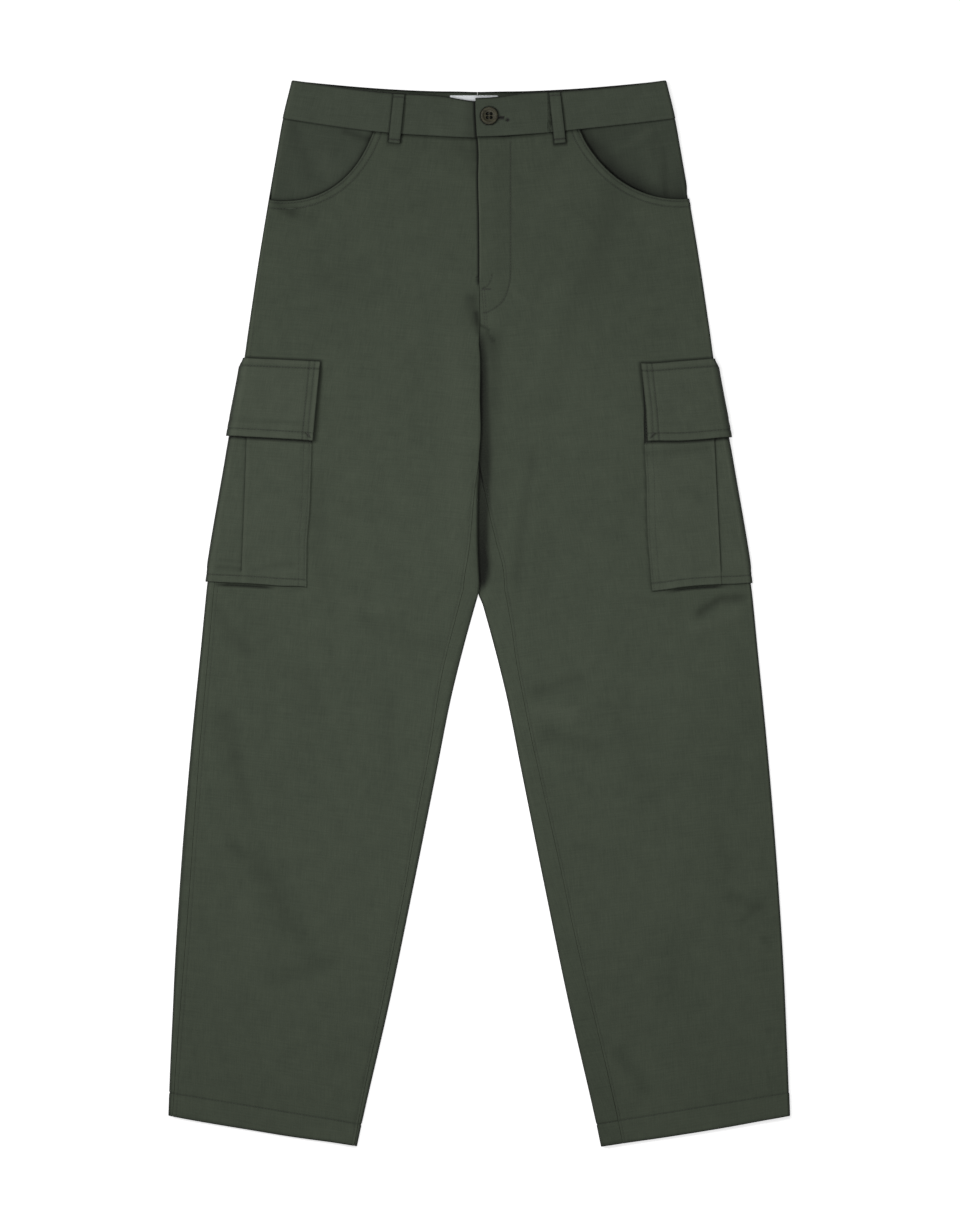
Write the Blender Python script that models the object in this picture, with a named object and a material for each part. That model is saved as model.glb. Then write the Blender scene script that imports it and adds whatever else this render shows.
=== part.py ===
"""Cargo trousers, laid flat on their back with the front up.

Most pieces are patches of one surface, the outer skin of the two flattened legs. A point of the skin
is named by its height, read where its row meets the inner edge, and by its way round the leg from
the outer fold: positive over the front, negative under the back. A patch is moved out by its layer
and given a thickness there, so that each piece follows what it lies on.

Left and right are the wearer's, so the left leg lies at +X. The waist is at +Y and the floor at z = 0.
Sizes are in millimetres, and become metres as each mesh is made.
"""

import math

import bmesh
import bpy
import numpy as np

MM = 0.001
LEFT, RIGHT = 1, -1
SIDE_NAMES = {LEFT: "left", RIGHT: "right"}
QUARTER_TURN = math.pi / 2

# Heights on the inner edge, up from the middle of the garment.
WAIST_TOP = 523.0
WAIST_SEAM = 483.5
FLY_BOTTOM = 333.0
CROTCH = 156.0
FORK = 20.4
HEM = -543.7
HEM_STITCH = -522.0

# Cloth.
WALL = 1.2
SEAM_GAP = 0.3
BAND_OUTSIDE = 0.5
BAND_INSIDE = -1.7
FACING_OUTSIDE = -1.7
FACING_WALL = 1.2
HEM_RELIEF = 0.5
SAG = 1.2
SAG_START, SAG_END = 5.0, 50.0
SHARP_EDGE = math.radians(40)

# Each row rises from its inner end to its outer end.
SLANT_AT_WAIST = 20.9
SLANT_AT_HEM = 32.7
BACK_RISE = 7.0
BACK_RISE_START = 300.0

# Fly and waistband laps, as distances past the centre line, and the slope that runs up to a lap.
FLY_UNDERLAP = 9.8
FLY_RUN_OUT = 12.0
FLY_RAISE_START, FLY_RAISE_END = 295.0, FLY_BOTTOM - 3
FLY_STOPS = (30, 12, 5)
BAND_LAP = 2.0
BAND_UNDERLAP = 32.0
LAP_SLOPE = 10.0

# The centre line leans to the wearer's right at the fly, and the back's seam comes back from it.
CENTRE_DRIFT = 1.65
DRIFT_FADE = 45.0

# Heights between which the inner edge of a leg turns from a flat seam to a full fold.
FRONT_CURL_START, FRONT_CURL_END = 315.0, 255.0
BACK_CURL_START, BACK_CURL_END = 200.0, CROTCH + 2

# height, distance out from the centre line
OUTER_EDGE = (
    (543.7, 190.6),
    (503, 200.4),
    (472, 206.0),
    (431, 213.2),
    (370, 223.4),
    (268, 238.7),
    (166, 255.3),
    (23, 278.5),
    (-38, 284.6),
    (-119, 292.7),
    (-201, 299.9),
    (-282, 306.0),
    (-364, 311.1),
    (-446, 314.7),
    (-511, 317.2),
)

# height, distance out from the centre line
INNER_EDGE = (
    (FORK, 0.15),
    (3, 5.1),
    (-38, 16.3),
    (-79, 26.5),
    (-160, 42.8),
    (-282, 67.3),
    (-405, 92.8),
    (-507, 116.3),
    (HEM, 124.4),
)

# height, thickness of the flattened leg
THICKNESS = ((WAIST_TOP, 7.0), (400, 7.0), (250, 6.6), (100, 6.4), (HEM, 6.0))

# height, how far the rows bow down between their ends, as a power
BOW = ((WAIST_TOP, 1.25), (WAIST_SEAM, 1.5), (300, 1.0), (HEM, 1.0))

# height, how far the inseam lies in from the inner edge, on the front
INSEAM = {
    LEFT: (
        (CROTCH, 0.0),
        (123, 7.1),
        (96, 12.2),
        (67, 18.4),
        (42, 24.5),
        (-15, 22.5),
        (-48, 18.4),
        (-89, 16.3),
        (-170, 17.3),
        (-252, 19.4),
        (-333, 20.4),
        (-415, 22.4),
        (HEM, 22.4),
    ),
    RIGHT: (
        (CROTCH, 0.0),
        (127, 3.1),
        (70, 8.2),
        (27, 15.3),
        (-15, 15.3),
        (-68, 14.3),
        (-129, 11.2),
        (-212, 10.2),
        (-276, 8.2),
        (-383, 7.1),
        (-450, 6.1),
        (HEM, 3.1),
    ),
}

# height, how far the outseam lies in from the outer edge: negative on the back
OUTSEAM = {
    LEFT: ((WAIST_SEAM, -0.8), (HEM, -0.8)),
    RIGHT: (
        (WAIST_SEAM, 0.0),
        (240, 2.0),
        (20, 7.5),
        (-129, 9.2),
        (-400, 9.2),
        (-460, 7.1),
        (HEM, 4.5),
    ),
}

# Scoop of the front pocket, as a Bezier curve from the waist seam to the outseam: out, height
POCKET_MOUTH = {
    LEFT: ((103, WAIST_SEAM - 0.15), (121, 450), (158, 404), (214, 401.2)),
    RIGHT: ((107, WAIST_SEAM - 0.15), (119, 448), (151, 401.5), (213, 401.0)),
}
MOUTH_STEPS = 12
FACING_UNDERLAP = 8.0
FACING_OPENS = 15.0
FACING_SINK = (4.0, 25.0)
FACING_FOLD_SHARE = 0.5

# Cargo pockets and flaps.
POCKET_WIDTH = 176.0
POCKET_TOP = 226.0
POCKET_BOTTOM = 5.0
POCKET_GAP = 0.4
POCKET_WALL = 1.1
FLAP_TOP = 240.0
FLAP_SHOULDER = 232.0
FLAP_BOTTOM = 157.5
FLAP_GAP = 0.3
FLAP_WALL = 1.3
FLAP_FLARE = 1.3
FLAP_HEM = 12.0
PLEAT_HALF = 0.4
POCKET_HEM = 9.0

# How far each column stands off the leg, from the front edge round to the back edge.
POCKET_PUFF = (0, 0.9, 1.5, 1.6, 0.5, 0.7, 1.0, 1.2, 1.3, 1.0, 0.5, 0, 0, 0)
FLAP_PUFF = (1.0, 1.4, 1.7, 1.7, 1.6, 1.5, 1.4, 1.3, 1.0, 0.5, 0, 0, 0)
FLAP_LOOSE = (1, 1, 1, 1, 1, 1, 1, 1, 0.6, 0.2, 0, 0, 0)
PUFF_FADE_START = 30.0
PUFF_FADE = 0.4

# height, out to the pocket's front edge, out to the flap's front edge, out to the pleat
POCKET_LINES = {
    LEFT: ((240, 166.0, 165.2, 236.5), (157.5, 169.7, 173.2, 240.0), (5, 177.5, 180.0, 247.4)),
    RIGHT: ((240, 167.5, 161.7, 234.5), (157.5, 170.3, 169.3, 236.8), (5, 175.4, 178.0, 242.6)),
}

# How far the leg is raised by what lies under it.
POCKET_LIFT = POCKET_GAP + POCKET_WALL
FLAP_LIFT = FLAP_GAP + FLAP_WALL
LOOP_GAP = 0.3
LOOP_WALL = 1.0
BAND_LIFT = BAND_OUTSIDE + LOOP_GAP + LOOP_WALL
LIFT_REACH_BACK = 35.0
LIFT_REACH_FRONT = 100.0
LIFT_MARGIN = 1.0
LIFT_RUN_BELOW = 30.0
LIFT_RUN_ABOVE = 40.0
BAND_LIFT_START, BAND_LIFT_END = 430.0, 472.0

# Steps of the under side: to the pocket's back edge, on to where the lift ends, to the inner fold.
UNDER_STEPS = (2, 2, 1)

# How much of the strip between the inner fold and the inseam is curved.
ROLLED_SHARE = 0.9

# Rows of the back panels beside the front pocket, by height.
HIP_ROWS = (WAIST_SEAM - SEAM_GAP / 2, BAND_LIFT_END, 450, BAND_LIFT_START, 401)

# Rows of the leg panels below the front pocket, by height.
LEG_ROWS = (385, 360, 345, FLY_BOTTOM, 322, 310, 296, 280, 262, 242)
LEG_ROWS += (FLAP_TOP, FLAP_SHOULDER, POCKET_TOP, 200, FLAP_BOTTOM + 1)
LEG_ROWS += (CROTCH, 145, 125, 95, 60, FORK, POCKET_BOTTOM - 1, -26)
LEG_ROWS += (-60, -100, -150, -205, -260, -320, -380, -440, -490)
LEG_ROWS += (HEM_STITCH + 0.3, HEM_STITCH - 0.3, HEM)

# A soft fold keeps this share of its height at its ends, and fades out near the sides of the leg.
FOLD_END_SHARE = 0.4
FOLD_MARGIN_OUTER, FOLD_MARGIN_INNER = 14.0, 10.0

# Soft folds of the front: leg, from (out, up) to (out, up), half width, height or, below 0, depth
SOFT_FOLDS = (
    (LEFT, 146, 384, 64, 257, 16, 1.3),
    (LEFT, 118, 396, 40, 300, 12, -0.8),
    (LEFT, 64, 154, 35, 35, 15, 1.2),
    (LEFT, 92, 120, 60, 0, 14, -0.9),
    (LEFT, 232, 2, 272, 14, 8, -1.3),
    (LEFT, 210, -22, 262, -4, 9, 1.1),
    (LEFT, 84, -90, 138, -140, 18, 1.2),
    (LEFT, 60, -150, 120, -230, 14, -0.8),
    (LEFT, 196, -330, 262, -360, 16, -0.9),
    (LEFT, 232, -280, 292, -306, 13, 1.0),
    (LEFT, 7, 300, 7, 30, 10, -1.2),
    (RIGHT, 195, 409, 160, 396, 9, -1.0),
    (RIGHT, 70, 20, 112, -14, 16, 1.3),
    (RIGHT, 120, 250, 60, 200, 15, 0.9),
    (RIGHT, 254, -136, 224, -188, 10, -1.2),
    (RIGHT, 240, -120, 206, -178, 11, 1.2),
    (RIGHT, 250, -243, 188, -328, 10, -1.2),
    (RIGHT, 188, -328, 165, -365, 9, -1.0),
    (RIGHT, 232, -262, 172, -345, 13, 1.1),
    (RIGHT, 120, -180, 96, -260, 15, 0.9),
    (RIGHT, 5, 300, 5, 60, 7, 0.8),
)

# Small parts.
LOOP_WIDTH = 12.2
LOOP_ROWS = 7
LOOP_ARCH = 1.0
LOOP_TOP = WAIST_TOP - 1.0
LOOP_BOTTOM = 473.5
FRONT_LOOPS = {LEFT: (77.0, 82.6), RIGHT: (81.6, 86.7)}
BACK_LOOP_OUT = 96.0
BUTTON_AT = (10.4, 506.9)
BUTTON_RADIUS = 9.4
BUTTON_HEIGHT = 3.0
BUTTON_RIM = 2.4
BUTTON_DISH = 0.9
BUTTON_CHAMFER = 1.3
BUTTON_ROUND = 0.8
BUTTON_STEPS = 28
BUTTON_HOLE = 0.9
BUTTON_HOLE_SPACING = 3.8
LABEL_LOW = (-29.6, 499.0)
LABEL_HIGH = (21.4, 528.8)
LABEL_WALL = 1.0

# name: colour, roughness
FINISHES = {
    "twill": ((0.058, 0.068, 0.047, 1), 0.92),
    "twill_facing": ((0.042, 0.05, 0.036, 1), 0.94),
    "twill_band": ((0.052, 0.061, 0.043, 1), 0.92),
    "twill_pocket": ((0.062, 0.072, 0.05, 1), 0.92),
    "button": ((0.035, 0.03, 0.018, 1), 0.45),
    "label": ((0.66, 0.69, 0.71, 1), 0.8),
}


def clear_scene():
    for obj in list(bpy.data.objects):
        bpy.data.objects.remove(obj, do_unlink=True)


def ease(start, end, value):
    """0 before start, 1 after end, and a smooth step between them."""
    part = np.clip((value - start) / (end - start), 0, 1)
    return part * part * (3 - 2 * part)


def along(table, heights, column=1):
    """A column of a table at any height, on a smooth curve through its rows."""
    rows = np.array(sorted(table), float)
    keys, values = rows[:, 0], rows[:, column]
    slopes = np.gradient(values, keys)
    heights = np.asarray(heights, float)
    low = np.clip(np.searchsorted(keys, heights) - 1, 0, len(keys) - 2)
    span = keys[low + 1] - keys[low]
    part = np.clip((heights - keys[low]) / span, 0, 1)
    rest = 1 - part
    start = values[low] * (1 + 2 * part) + slopes[low] * span * part
    end = values[low + 1] * (1 + 2 * rest) - slopes[low + 1] * span * rest
    return start * rest**2 + end * part**2


def bezier(corners, steps):
    """Points of a cubic Bezier curve, closer together towards its end."""
    part = 1 - np.linspace(1, 0, steps + 1)[:, None] ** 2
    a, b, c, d = np.array(corners, float)
    rest = 1 - part
    return a * rest**3 + 3 * b * rest**2 * part + 3 * c * rest * part**2 + d * part**3


def slant(height):
    """How far a row rises from its inner end to its outer end."""
    down = (WAIST_SEAM - height) / (WAIST_SEAM - HEM)
    return SLANT_AT_WAIST + (SLANT_AT_HEM - SLANT_AT_WAIST) * down


def outer_edge(height):
    return along(OUTER_EDGE, height + slant(height))


def inner_edge(side, height, front):
    """Out from the centre line to the inner edge of a row, with the laps of the fly and waistband."""
    edge = along(INNER_EDGE, np.minimum(height, FORK))
    drift = CENTRE_DRIFT * ease(FORK, CROTCH, height)
    back_edge = edge - side * drift * (1 - ease(CROTCH, CROTCH + DRIFT_FADE, height))
    if side == LEFT:
        front_edge = np.where(height > WAIST_SEAM, -BAND_LAP, edge - drift)
    else:
        underlap = FLY_UNDERLAP * ease(FLY_BOTTOM, FLY_BOTTOM + FLY_RUN_OUT, height)
        front_edge = np.where(height > WAIST_SEAM, -BAND_UNDERLAP, edge + drift - underlap)
    return np.where(front, front_edge, back_edge)


def fold_radius(height):
    return along(THICKNESS, height) / 2


def half_girth(side, height, front):
    """The way round one face of the leg, from the outer fold to the inner one."""
    radius = fold_radius(height)
    width = outer_edge(height) - inner_edge(side, height, front)
    return width - 2 * radius + 2 * radius * QUARTER_TURN


def way_in(inset, height):
    """The way round a fold to a point this far in from it, in plan."""
    radius = fold_radius(height)
    inset = np.asarray(inset, float)
    within = np.clip(inset / radius, 0, 1)
    return np.where(inset < radius, radius * np.arccos(1 - within), inset - radius + radius * QUARTER_TURN)


def way_to(height, out):
    """The way round the front to a point this far out from the centre line."""
    return way_in(outer_edge(height) - out, height)


def front_curl(height):
    """How far the front rolls down at the centre: 0 flat, 1 a full fold."""
    return ease(FRONT_CURL_START, FRONT_CURL_END, height)


def back_curl(height):
    return ease(BACK_CURL_START, BACK_CURL_END, height)


def pocket_back_edge(side, height):
    """Out to the cargo pocket's edge on the back, from its width and its front edge."""
    return 2 * outer_edge(height) - along(POCKET_LINES[side], height, 1) - POCKET_WIDTH


def lift(side, height, out, front):
    """How far the cloth is raised by the pocket, flap and belt loops that lie under it."""
    edge = pocket_back_edge(side, height)
    reach = np.where(front, LIFT_REACH_FRONT, LIFT_REACH_BACK)
    beside = ease(edge - reach, edge, out)
    pocket_end, flap_end = POCKET_BOTTOM - LIFT_MARGIN, FLAP_BOTTOM - 2 * LIFT_MARGIN
    on_pocket = ease(pocket_end - LIFT_RUN_BELOW, pocket_end, height)
    on_flap = ease(flap_end - LIFT_RUN_BELOW, flap_end, height)
    above = ease(FLAP_TOP + LIFT_RUN_ABOVE, FLAP_TOP + LIFT_MARGIN, height)
    thigh = beside * above * (POCKET_LIFT * on_pocket + FLAP_LIFT * on_flap)
    return thigh + BAND_LIFT * ease(BAND_LIFT_START, BAND_LIFT_END, height)


def soft_folds(side, out, up):
    """Height of the soft folds at a point of the front."""
    total = np.zeros(np.shape(out))
    for leg, out_1, up_1, out_2, up_2, half_width, height in SOFT_FOLDS:
        if leg != side:
            continue
        run = np.array((out_2 - out_1, up_2 - up_1), float)
        part = np.clip(((out - out_1) * run[0] + (up - up_1) * run[1]) / (run @ run), 0, 1)
        away = np.hypot(out - out_1 - part * run[0], up - up_1 - part * run[1])
        swell = FOLD_END_SHARE + (1 - FOLD_END_SHARE) * np.sin(math.pi * part)
        total = total + height * swell * np.exp(-((away / half_width) ** 2))
    return total


def skin(side, height, way):
    """Points on the outer skin of a leg, and the directions out of the cloth there."""
    height, way = np.broadcast_arrays(np.asarray(height, float), np.asarray(way, float))
    girth = half_girth(side, height, False)
    way = np.where(way < -girth, way + 2 * girth, way)
    front = way >= 0
    radius = fold_radius(height)
    outer = outer_edge(height)
    inner = inner_edge(side, height, front)
    flat = outer - inner - 2 * radius
    past_fold = np.abs(way) - radius * QUARTER_TURN
    turn = np.clip(np.abs(way) / radius, 0, QUARTER_TURN)
    turn_in = np.clip((past_fold - flat) / radius, 0, QUARTER_TURN)
    curl = np.where(front, front_curl(height), back_curl(height))

    inset = radius * (1 - np.cos(turn)) + np.clip(past_fold, 0, flat) + radius * np.sin(turn_in)
    out = outer - inset
    centre = along(INNER_EDGE, np.minimum(height, FORK))
    across = np.clip(np.abs(out - centre) / (outer - centre), 0, 1)
    rise = np.where(front, 0, BACK_RISE * ease(BACK_RISE_START, WAIST_SEAM, height)) * (1 - across)
    up = height + slant(height) * across ** along(BOW, height) + rise

    top = radius * (1 + np.sin(turn)) - curl * radius * (1 - np.cos(turn_in))
    from_inner = 1 - curl + curl * ease(SAG_START, SAG_END, out - inner)
    top = top - SAG * ease(SAG_START, SAG_END, inset) * from_inner
    by_fold = 1 - curl + curl * ease(0, FOLD_MARGIN_INNER, out - inner)
    top = top + soft_folds(side, out, up) * ease(0, FOLD_MARGIN_OUTER, inset) * by_fold
    bottom = radius * (1 - np.sin(turn)) + curl * radius * (1 - np.cos(turn_in))
    z = np.where(front, top, bottom) + lift(side, height, out, front)

    outward = np.cos(turn) - np.sin(curl * turn_in)
    upward = np.sin(turn) * np.cos(curl * turn_in)
    points = np.stack((side * out, up, z), axis=-1)
    directions = np.stack((side * outward, np.zeros_like(z), np.where(front, upward, -upward)), axis=-1)
    return points, directions


def runs(edges, divisions):
    """Columns from edge to edge, with so many even steps in each stretch."""
    edges = np.broadcast_arrays(*edges)
    columns = [edges[0]]
    for start, end, count in zip(edges, edges[1:], divisions):
        columns += [start + (end - start) * step / count for step in range(1, count + 1)]
    return np.stack(columns, axis=1)


def material(finish):
    found = bpy.data.materials.get(finish)
    if found:
        return found
    color, roughness = FINISHES[finish]
    made = bpy.data.materials.new(finish)
    made.use_nodes = True
    shader = made.node_tree.nodes["Principled BSDF"]
    shader.inputs["Base Color"].default_value = color
    shader.inputs["Roughness"].default_value = roughness
    shader.inputs["Metallic"].default_value = 0
    return made


def add_object(name, mesh, finish):
    mesh.materials.append(material(finish))
    mesh.shade_smooth()
    mesh.set_sharp_from_angle(angle=SHARP_EDGE)
    obj = bpy.data.objects.new(name, mesh)
    bpy.context.scene.collection.objects.link(obj)
    return obj


def wall(name, upper, lower, finish):
    """One closed piece of cloth between two grids of points."""
    rows, columns = upper.shape[:2]
    index = np.arange(rows * columns).reshape(rows, columns)
    under = index + rows * columns
    a, b, c, d = index[:-1, :-1], index[:-1, 1:], index[1:, 1:], index[1:, :-1]
    top = np.concatenate([np.stack((a, b, c), -1), np.stack((a, c, d), -1)]).reshape(-1, 3)
    bottom = top[:, ::-1] + rows * columns
    rim = np.concatenate([index[0], index[1:, -1], index[-1, -2::-1], index[-2:0:-1, 0]])
    low_rim = under.ravel()[rim]
    ahead, low_ahead = np.roll(rim, -1), np.roll(low_rim, -1)
    sides = np.concatenate([np.stack((ahead, rim, low_rim), -1), np.stack((ahead, low_rim, low_ahead), -1)])
    faces = np.concatenate([top, bottom, sides])
    points = np.concatenate([upper.reshape(-1, 3), lower.reshape(-1, 3)]) * MM
    corners = points[faces]
    if np.linalg.det(corners).sum() < 0:
        faces = faces[:, ::-1]
    mesh = bpy.data.meshes.new(name)
    mesh.from_pydata(points.tolist(), [], faces.tolist())
    return add_object(name, mesh, finish)


def patch(name, side, heights, ways, outside, thickness, finish):
    """A piece of cloth on the skin. outside is how far its outer face stands off the skin."""
    points, directions = skin(side, np.asarray(heights, float)[:, None], ways)
    outside = np.broadcast_to(outside, ways.shape)[..., None]
    return wall(name, points + directions * outside, points + directions * (outside - thickness), finish)


def outseam(side, height):
    inset = along(OUTSEAM[side], height)
    return np.sign(inset) * way_in(np.abs(inset), height)


def pocket_mouth(side, shift):
    """Heights and ways of the pocket's edge, moved in and down by so much."""
    out, height = (np.array(POCKET_MOUTH[side], float) - shift).T
    way = way_to(height, out)
    way[-1] = outseam(side, height[-1]) + SEAM_GAP / 2 + shift
    way, height = bezier(np.stack((way, height), axis=1), MOUTH_STEPS).T
    return height, way


def inseam(side, height):
    """The way from the inner fold over to the inseam. It is 0 above the crotch."""
    return way_in(along(INSEAM[side], np.minimum(height, CROTCH)), height)


def fly_raise(side, height, out):
    """How far the left front is raised where it laps over the right one."""
    if side == RIGHT:
        return np.zeros(np.broadcast(height, out).shape)
    on_band = height > WAIST_SEAM
    amount = np.where(on_band, BAND_OUTSIDE - BAND_INSIDE + SEAM_GAP, WALL + SEAM_GAP)
    amount = amount * ease(FLY_RAISE_START, FLY_RAISE_END, height)
    reach = np.where(on_band, BAND_UNDERLAP, FLY_UNDERLAP)
    return amount * ease(2 * reach + LAP_SLOPE, reach, out)


def front_panel(side):
    mouth_heights, mouth_ways = pocket_mouth(side, 0)
    leg_rows = np.array(LEG_ROWS, float)
    heights = np.concatenate([mouth_heights, leg_rows])
    start = np.concatenate([mouth_ways, outseam(side, leg_rows) + SEAM_GAP / 2])
    end = half_girth(side, heights, True) - inseam(side, heights) - SEAM_GAP / 2
    past_fold = np.maximum(fold_radius(heights) * QUARTER_TURN, start + fold_radius(heights) * 2)
    stops = [end - stop for stop in FLY_STOPS]
    ways = runs((start, past_fold, *stops, end), (3, 4, 1, 1, 3))
    out = outer_edge(heights)[:, None] - ways
    outside = fly_raise(side, heights[:, None], out) + HEM_RELIEF * (heights[:, None] < HEM_STITCH)
    patch(f"front_{SIDE_NAMES[side]}", side, heights, ways, outside, WALL, "twill")


def under_stops(side, heights):
    """Ways under the leg to the cargo pocket's back edge and to where its lift ends."""
    edge = -way_to(heights, pocket_back_edge(side, heights))
    return edge, edge - LIFT_REACH_BACK


def back_panel(side):
    heights = np.array(HIP_ROWS + LEG_ROWS, float)
    quarter = fold_radius(heights) * QUARTER_TURN
    girth = half_girth(side, heights, False)
    start = outseam(side, heights) - SEAM_GAP / 2
    fold = quarter - girth
    turn = quarter + inseam(side, heights) - SEAM_GAP / 2
    rolled = fold - np.minimum(ROLLED_SHARE * turn, 2 * quarter)
    edges = (start, -quarter, *under_stops(side, heights), fold, rolled, fold - turn)
    ways = runs(edges, (4, *UNDER_STEPS, 6, 1))
    patch(f"back_{SIDE_NAMES[side]}", side, heights, ways, 0, WALL, "twill")


def hip_facing(side):
    """The cloth inside the front pocket. It runs on a little way under the front panel."""
    heights, end = pocket_mouth(side, FACING_UNDERLAP)
    heights = np.concatenate([(WAIST_SEAM - SEAM_GAP / 2,), heights])
    end = np.concatenate([end[:1], end])
    start = outseam(side, heights) + SEAM_GAP / 2
    halfway = start + FACING_FOLD_SHARE * (end - start)
    ways = runs((start, np.minimum(fold_radius(heights) * QUARTER_TURN, halfway), end), (3, 6))
    mouth_bottom = POCKET_MOUTH[side][3][1]
    open_here = ease(mouth_bottom, mouth_bottom + FACING_OPENS, heights)[:, None]
    near_seam = 1 - ease(*FACING_SINK, ways)
    outside = FACING_OUTSIDE * (1 - near_seam * open_here)
    patch(f"hip_facing_{SIDE_NAMES[side]}", side, heights, ways, outside, FACING_WALL, "twill_facing")


def waistband(side):
    heights = np.linspace(WAIST_SEAM + SEAM_GAP / 2, WAIST_TOP, 4)
    outer = outer_edge(heights)
    radius = fold_radius(heights)
    quarter = radius * QUARTER_TURN
    lap = way_to(heights, BAND_UNDERLAP)
    past_lap = way_to(heights, 2 * BAND_UNDERLAP + LAP_SLOPE)
    front_end = half_girth(side, heights, True)
    fold = quarter - half_girth(side, heights, False)
    back_end = fold - quarter + SEAM_GAP / 2
    edges = (front_end, lap, past_lap, quarter, -quarter, *under_stops(side, heights), fold, back_end)
    ways = runs(edges, (3, 3, 6, 6, *UNDER_STEPS, 1))
    out = outer[:, None] - ways + quarter[:, None] - radius[:, None]
    outside = BAND_OUTSIDE + np.where(ways > 0, fly_raise(side, heights[:, None], out), 0)
    thickness = BAND_OUTSIDE - BAND_INSIDE
    patch(f"waistband_{SIDE_NAMES[side]}", side, heights, ways, outside, thickness, "twill_band")


def thigh_rows(top, bottom):
    return [row for row in LEG_ROWS if bottom < row < top]


def cargo_pocket(side):
    heights = np.array([POCKET_TOP, *thigh_rows(POCKET_TOP, POCKET_BOTTOM + 1), POCKET_BOTTOM], float)
    quarter = fold_radius(heights) * QUARTER_TURN
    front_edge = way_to(heights, along(POCKET_LINES[side], heights, 1))
    pleat = way_to(heights, along(POCKET_LINES[side], heights, 3))
    back_edge = -way_to(heights, pocket_back_edge(side, heights))
    pleat_lips = (pleat + PLEAT_HALF, pleat - PLEAT_HALF)
    edges = (front_edge, front_edge - POCKET_HEM, *pleat_lips, quarter, -quarter, back_edge)
    ways = runs(edges, (1, 2, 1, 1, 6, 2))
    sewn_down = 1 - PUFF_FADE * ease(PUFF_FADE_START, POCKET_BOTTOM, heights)[:, None]
    outside = POCKET_LIFT + np.array(POCKET_PUFF) * sewn_down
    patch(f"cargo_pocket_{SIDE_NAMES[side]}", side, heights, ways, outside, POCKET_WALL, "twill_pocket")


def cargo_flap(side):
    heights = np.array([FLAP_TOP, *thigh_rows(FLAP_TOP, FLAP_BOTTOM + 2), FLAP_BOTTOM], float)
    quarter = fold_radius(heights) * QUARTER_TURN
    front_edge = way_to(heights, along(POCKET_LINES[side], heights, 2))
    back_edge = -way_to(heights, pocket_back_edge(side, heights))
    ways = runs((front_edge, front_edge - FLAP_HEM, quarter, -quarter, back_edge), (1, 3, 6, 2))
    flare = FLAP_FLARE * np.array(FLAP_LOOSE) * ease(FLAP_SHOULDER, FLAP_BOTTOM, heights)[:, None]
    on_pocket = POCKET_LIFT + FLAP_LIFT + np.array(FLAP_PUFF) + flare
    outside = np.where(heights[:, None] > FLAP_SHOULDER, POCKET_GAP + FLAP_WALL, on_pocket)
    patch(f"cargo_flap_{SIDE_NAMES[side]}", side, heights, ways, outside, FLAP_WALL, "twill_pocket")


def belt_loop(name, side, out_top, out_bottom, face):
    """A strip across the waistband. face is 1 on the front and -1 on the back, where it lies flat."""
    part = np.linspace(0, 1, LOOP_ROWS)
    heights = LOOP_BOTTOM + (LOOP_TOP - LOOP_BOTTOM) * part
    out = out_bottom + (out_top - out_bottom) * part
    ways = runs((way_to(heights, out - LOOP_WIDTH / 2), way_to(heights, out + LOOP_WIDTH / 2)), (2,)) * face
    arch = LOOP_ARCH * np.sin(math.pi * part)[:, None] if face > 0 else 0
    rise = fly_raise(side, heights.max(), out_top) if face > 0 else 0
    outside = BAND_OUTSIDE + LOOP_GAP + LOOP_WALL + arch + rise
    patch(name, side, heights, ways, outside, LOOP_WALL, "twill_band")


def plate(name, low, high, floor, thickness, finish):
    """A flat rectangle of cloth, in plan from low to high."""
    out, up = np.meshgrid((low[0], high[0]), (low[1], high[1]))
    lower = np.stack((out, up, np.full_like(out, floor)), axis=-1)
    wall(name, lower + np.array((0, 0, thickness)), lower, finish)


def turned(name, profile, centre, steps):
    """A mesh turned from a profile of (radius, height) that starts and ends on the axis."""
    mesh = bpy.data.meshes.new(name)
    shape = bmesh.new()
    points = [shape.verts.new((radius * MM, 0, height * MM)) for radius, height in profile]
    edges = [shape.edges.new(pair) for pair in zip(points, points[1:])]
    axis = {"axis": (0, 0, 1), "cent": (0, 0, 0)}
    bmesh.ops.spin(shape, geom=points + edges, steps=steps, angle=2 * math.pi, **axis)
    bmesh.ops.remove_doubles(shape, verts=shape.verts, dist=0.01 * MM)
    bmesh.ops.recalc_face_normals(shape, faces=shape.faces)
    bmesh.ops.translate(shape, verts=shape.verts, vec=[value * MM for value in centre])
    shape.to_mesh(mesh)
    shape.free()
    return mesh


def hole_cutter(name, x, y, z):
    mesh = bpy.data.meshes.new(name)
    shape = bmesh.new()
    size = {"radius1": BUTTON_HOLE * MM, "radius2": BUTTON_HOLE * MM, "depth": 4 * BUTTON_HEIGHT * MM}
    bmesh.ops.create_cone(shape, cap_ends=True, segments=12, **size)
    bmesh.ops.translate(shape, verts=shape.verts, vec=(x * MM, y * MM, z * MM))
    shape.to_mesh(mesh)
    shape.free()
    cutter = bpy.data.objects.new(name, mesh)
    cutter.hide_render = True
    cutter.display_type = "WIRE"
    bpy.context.scene.collection.objects.link(cutter)
    return cutter


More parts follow.
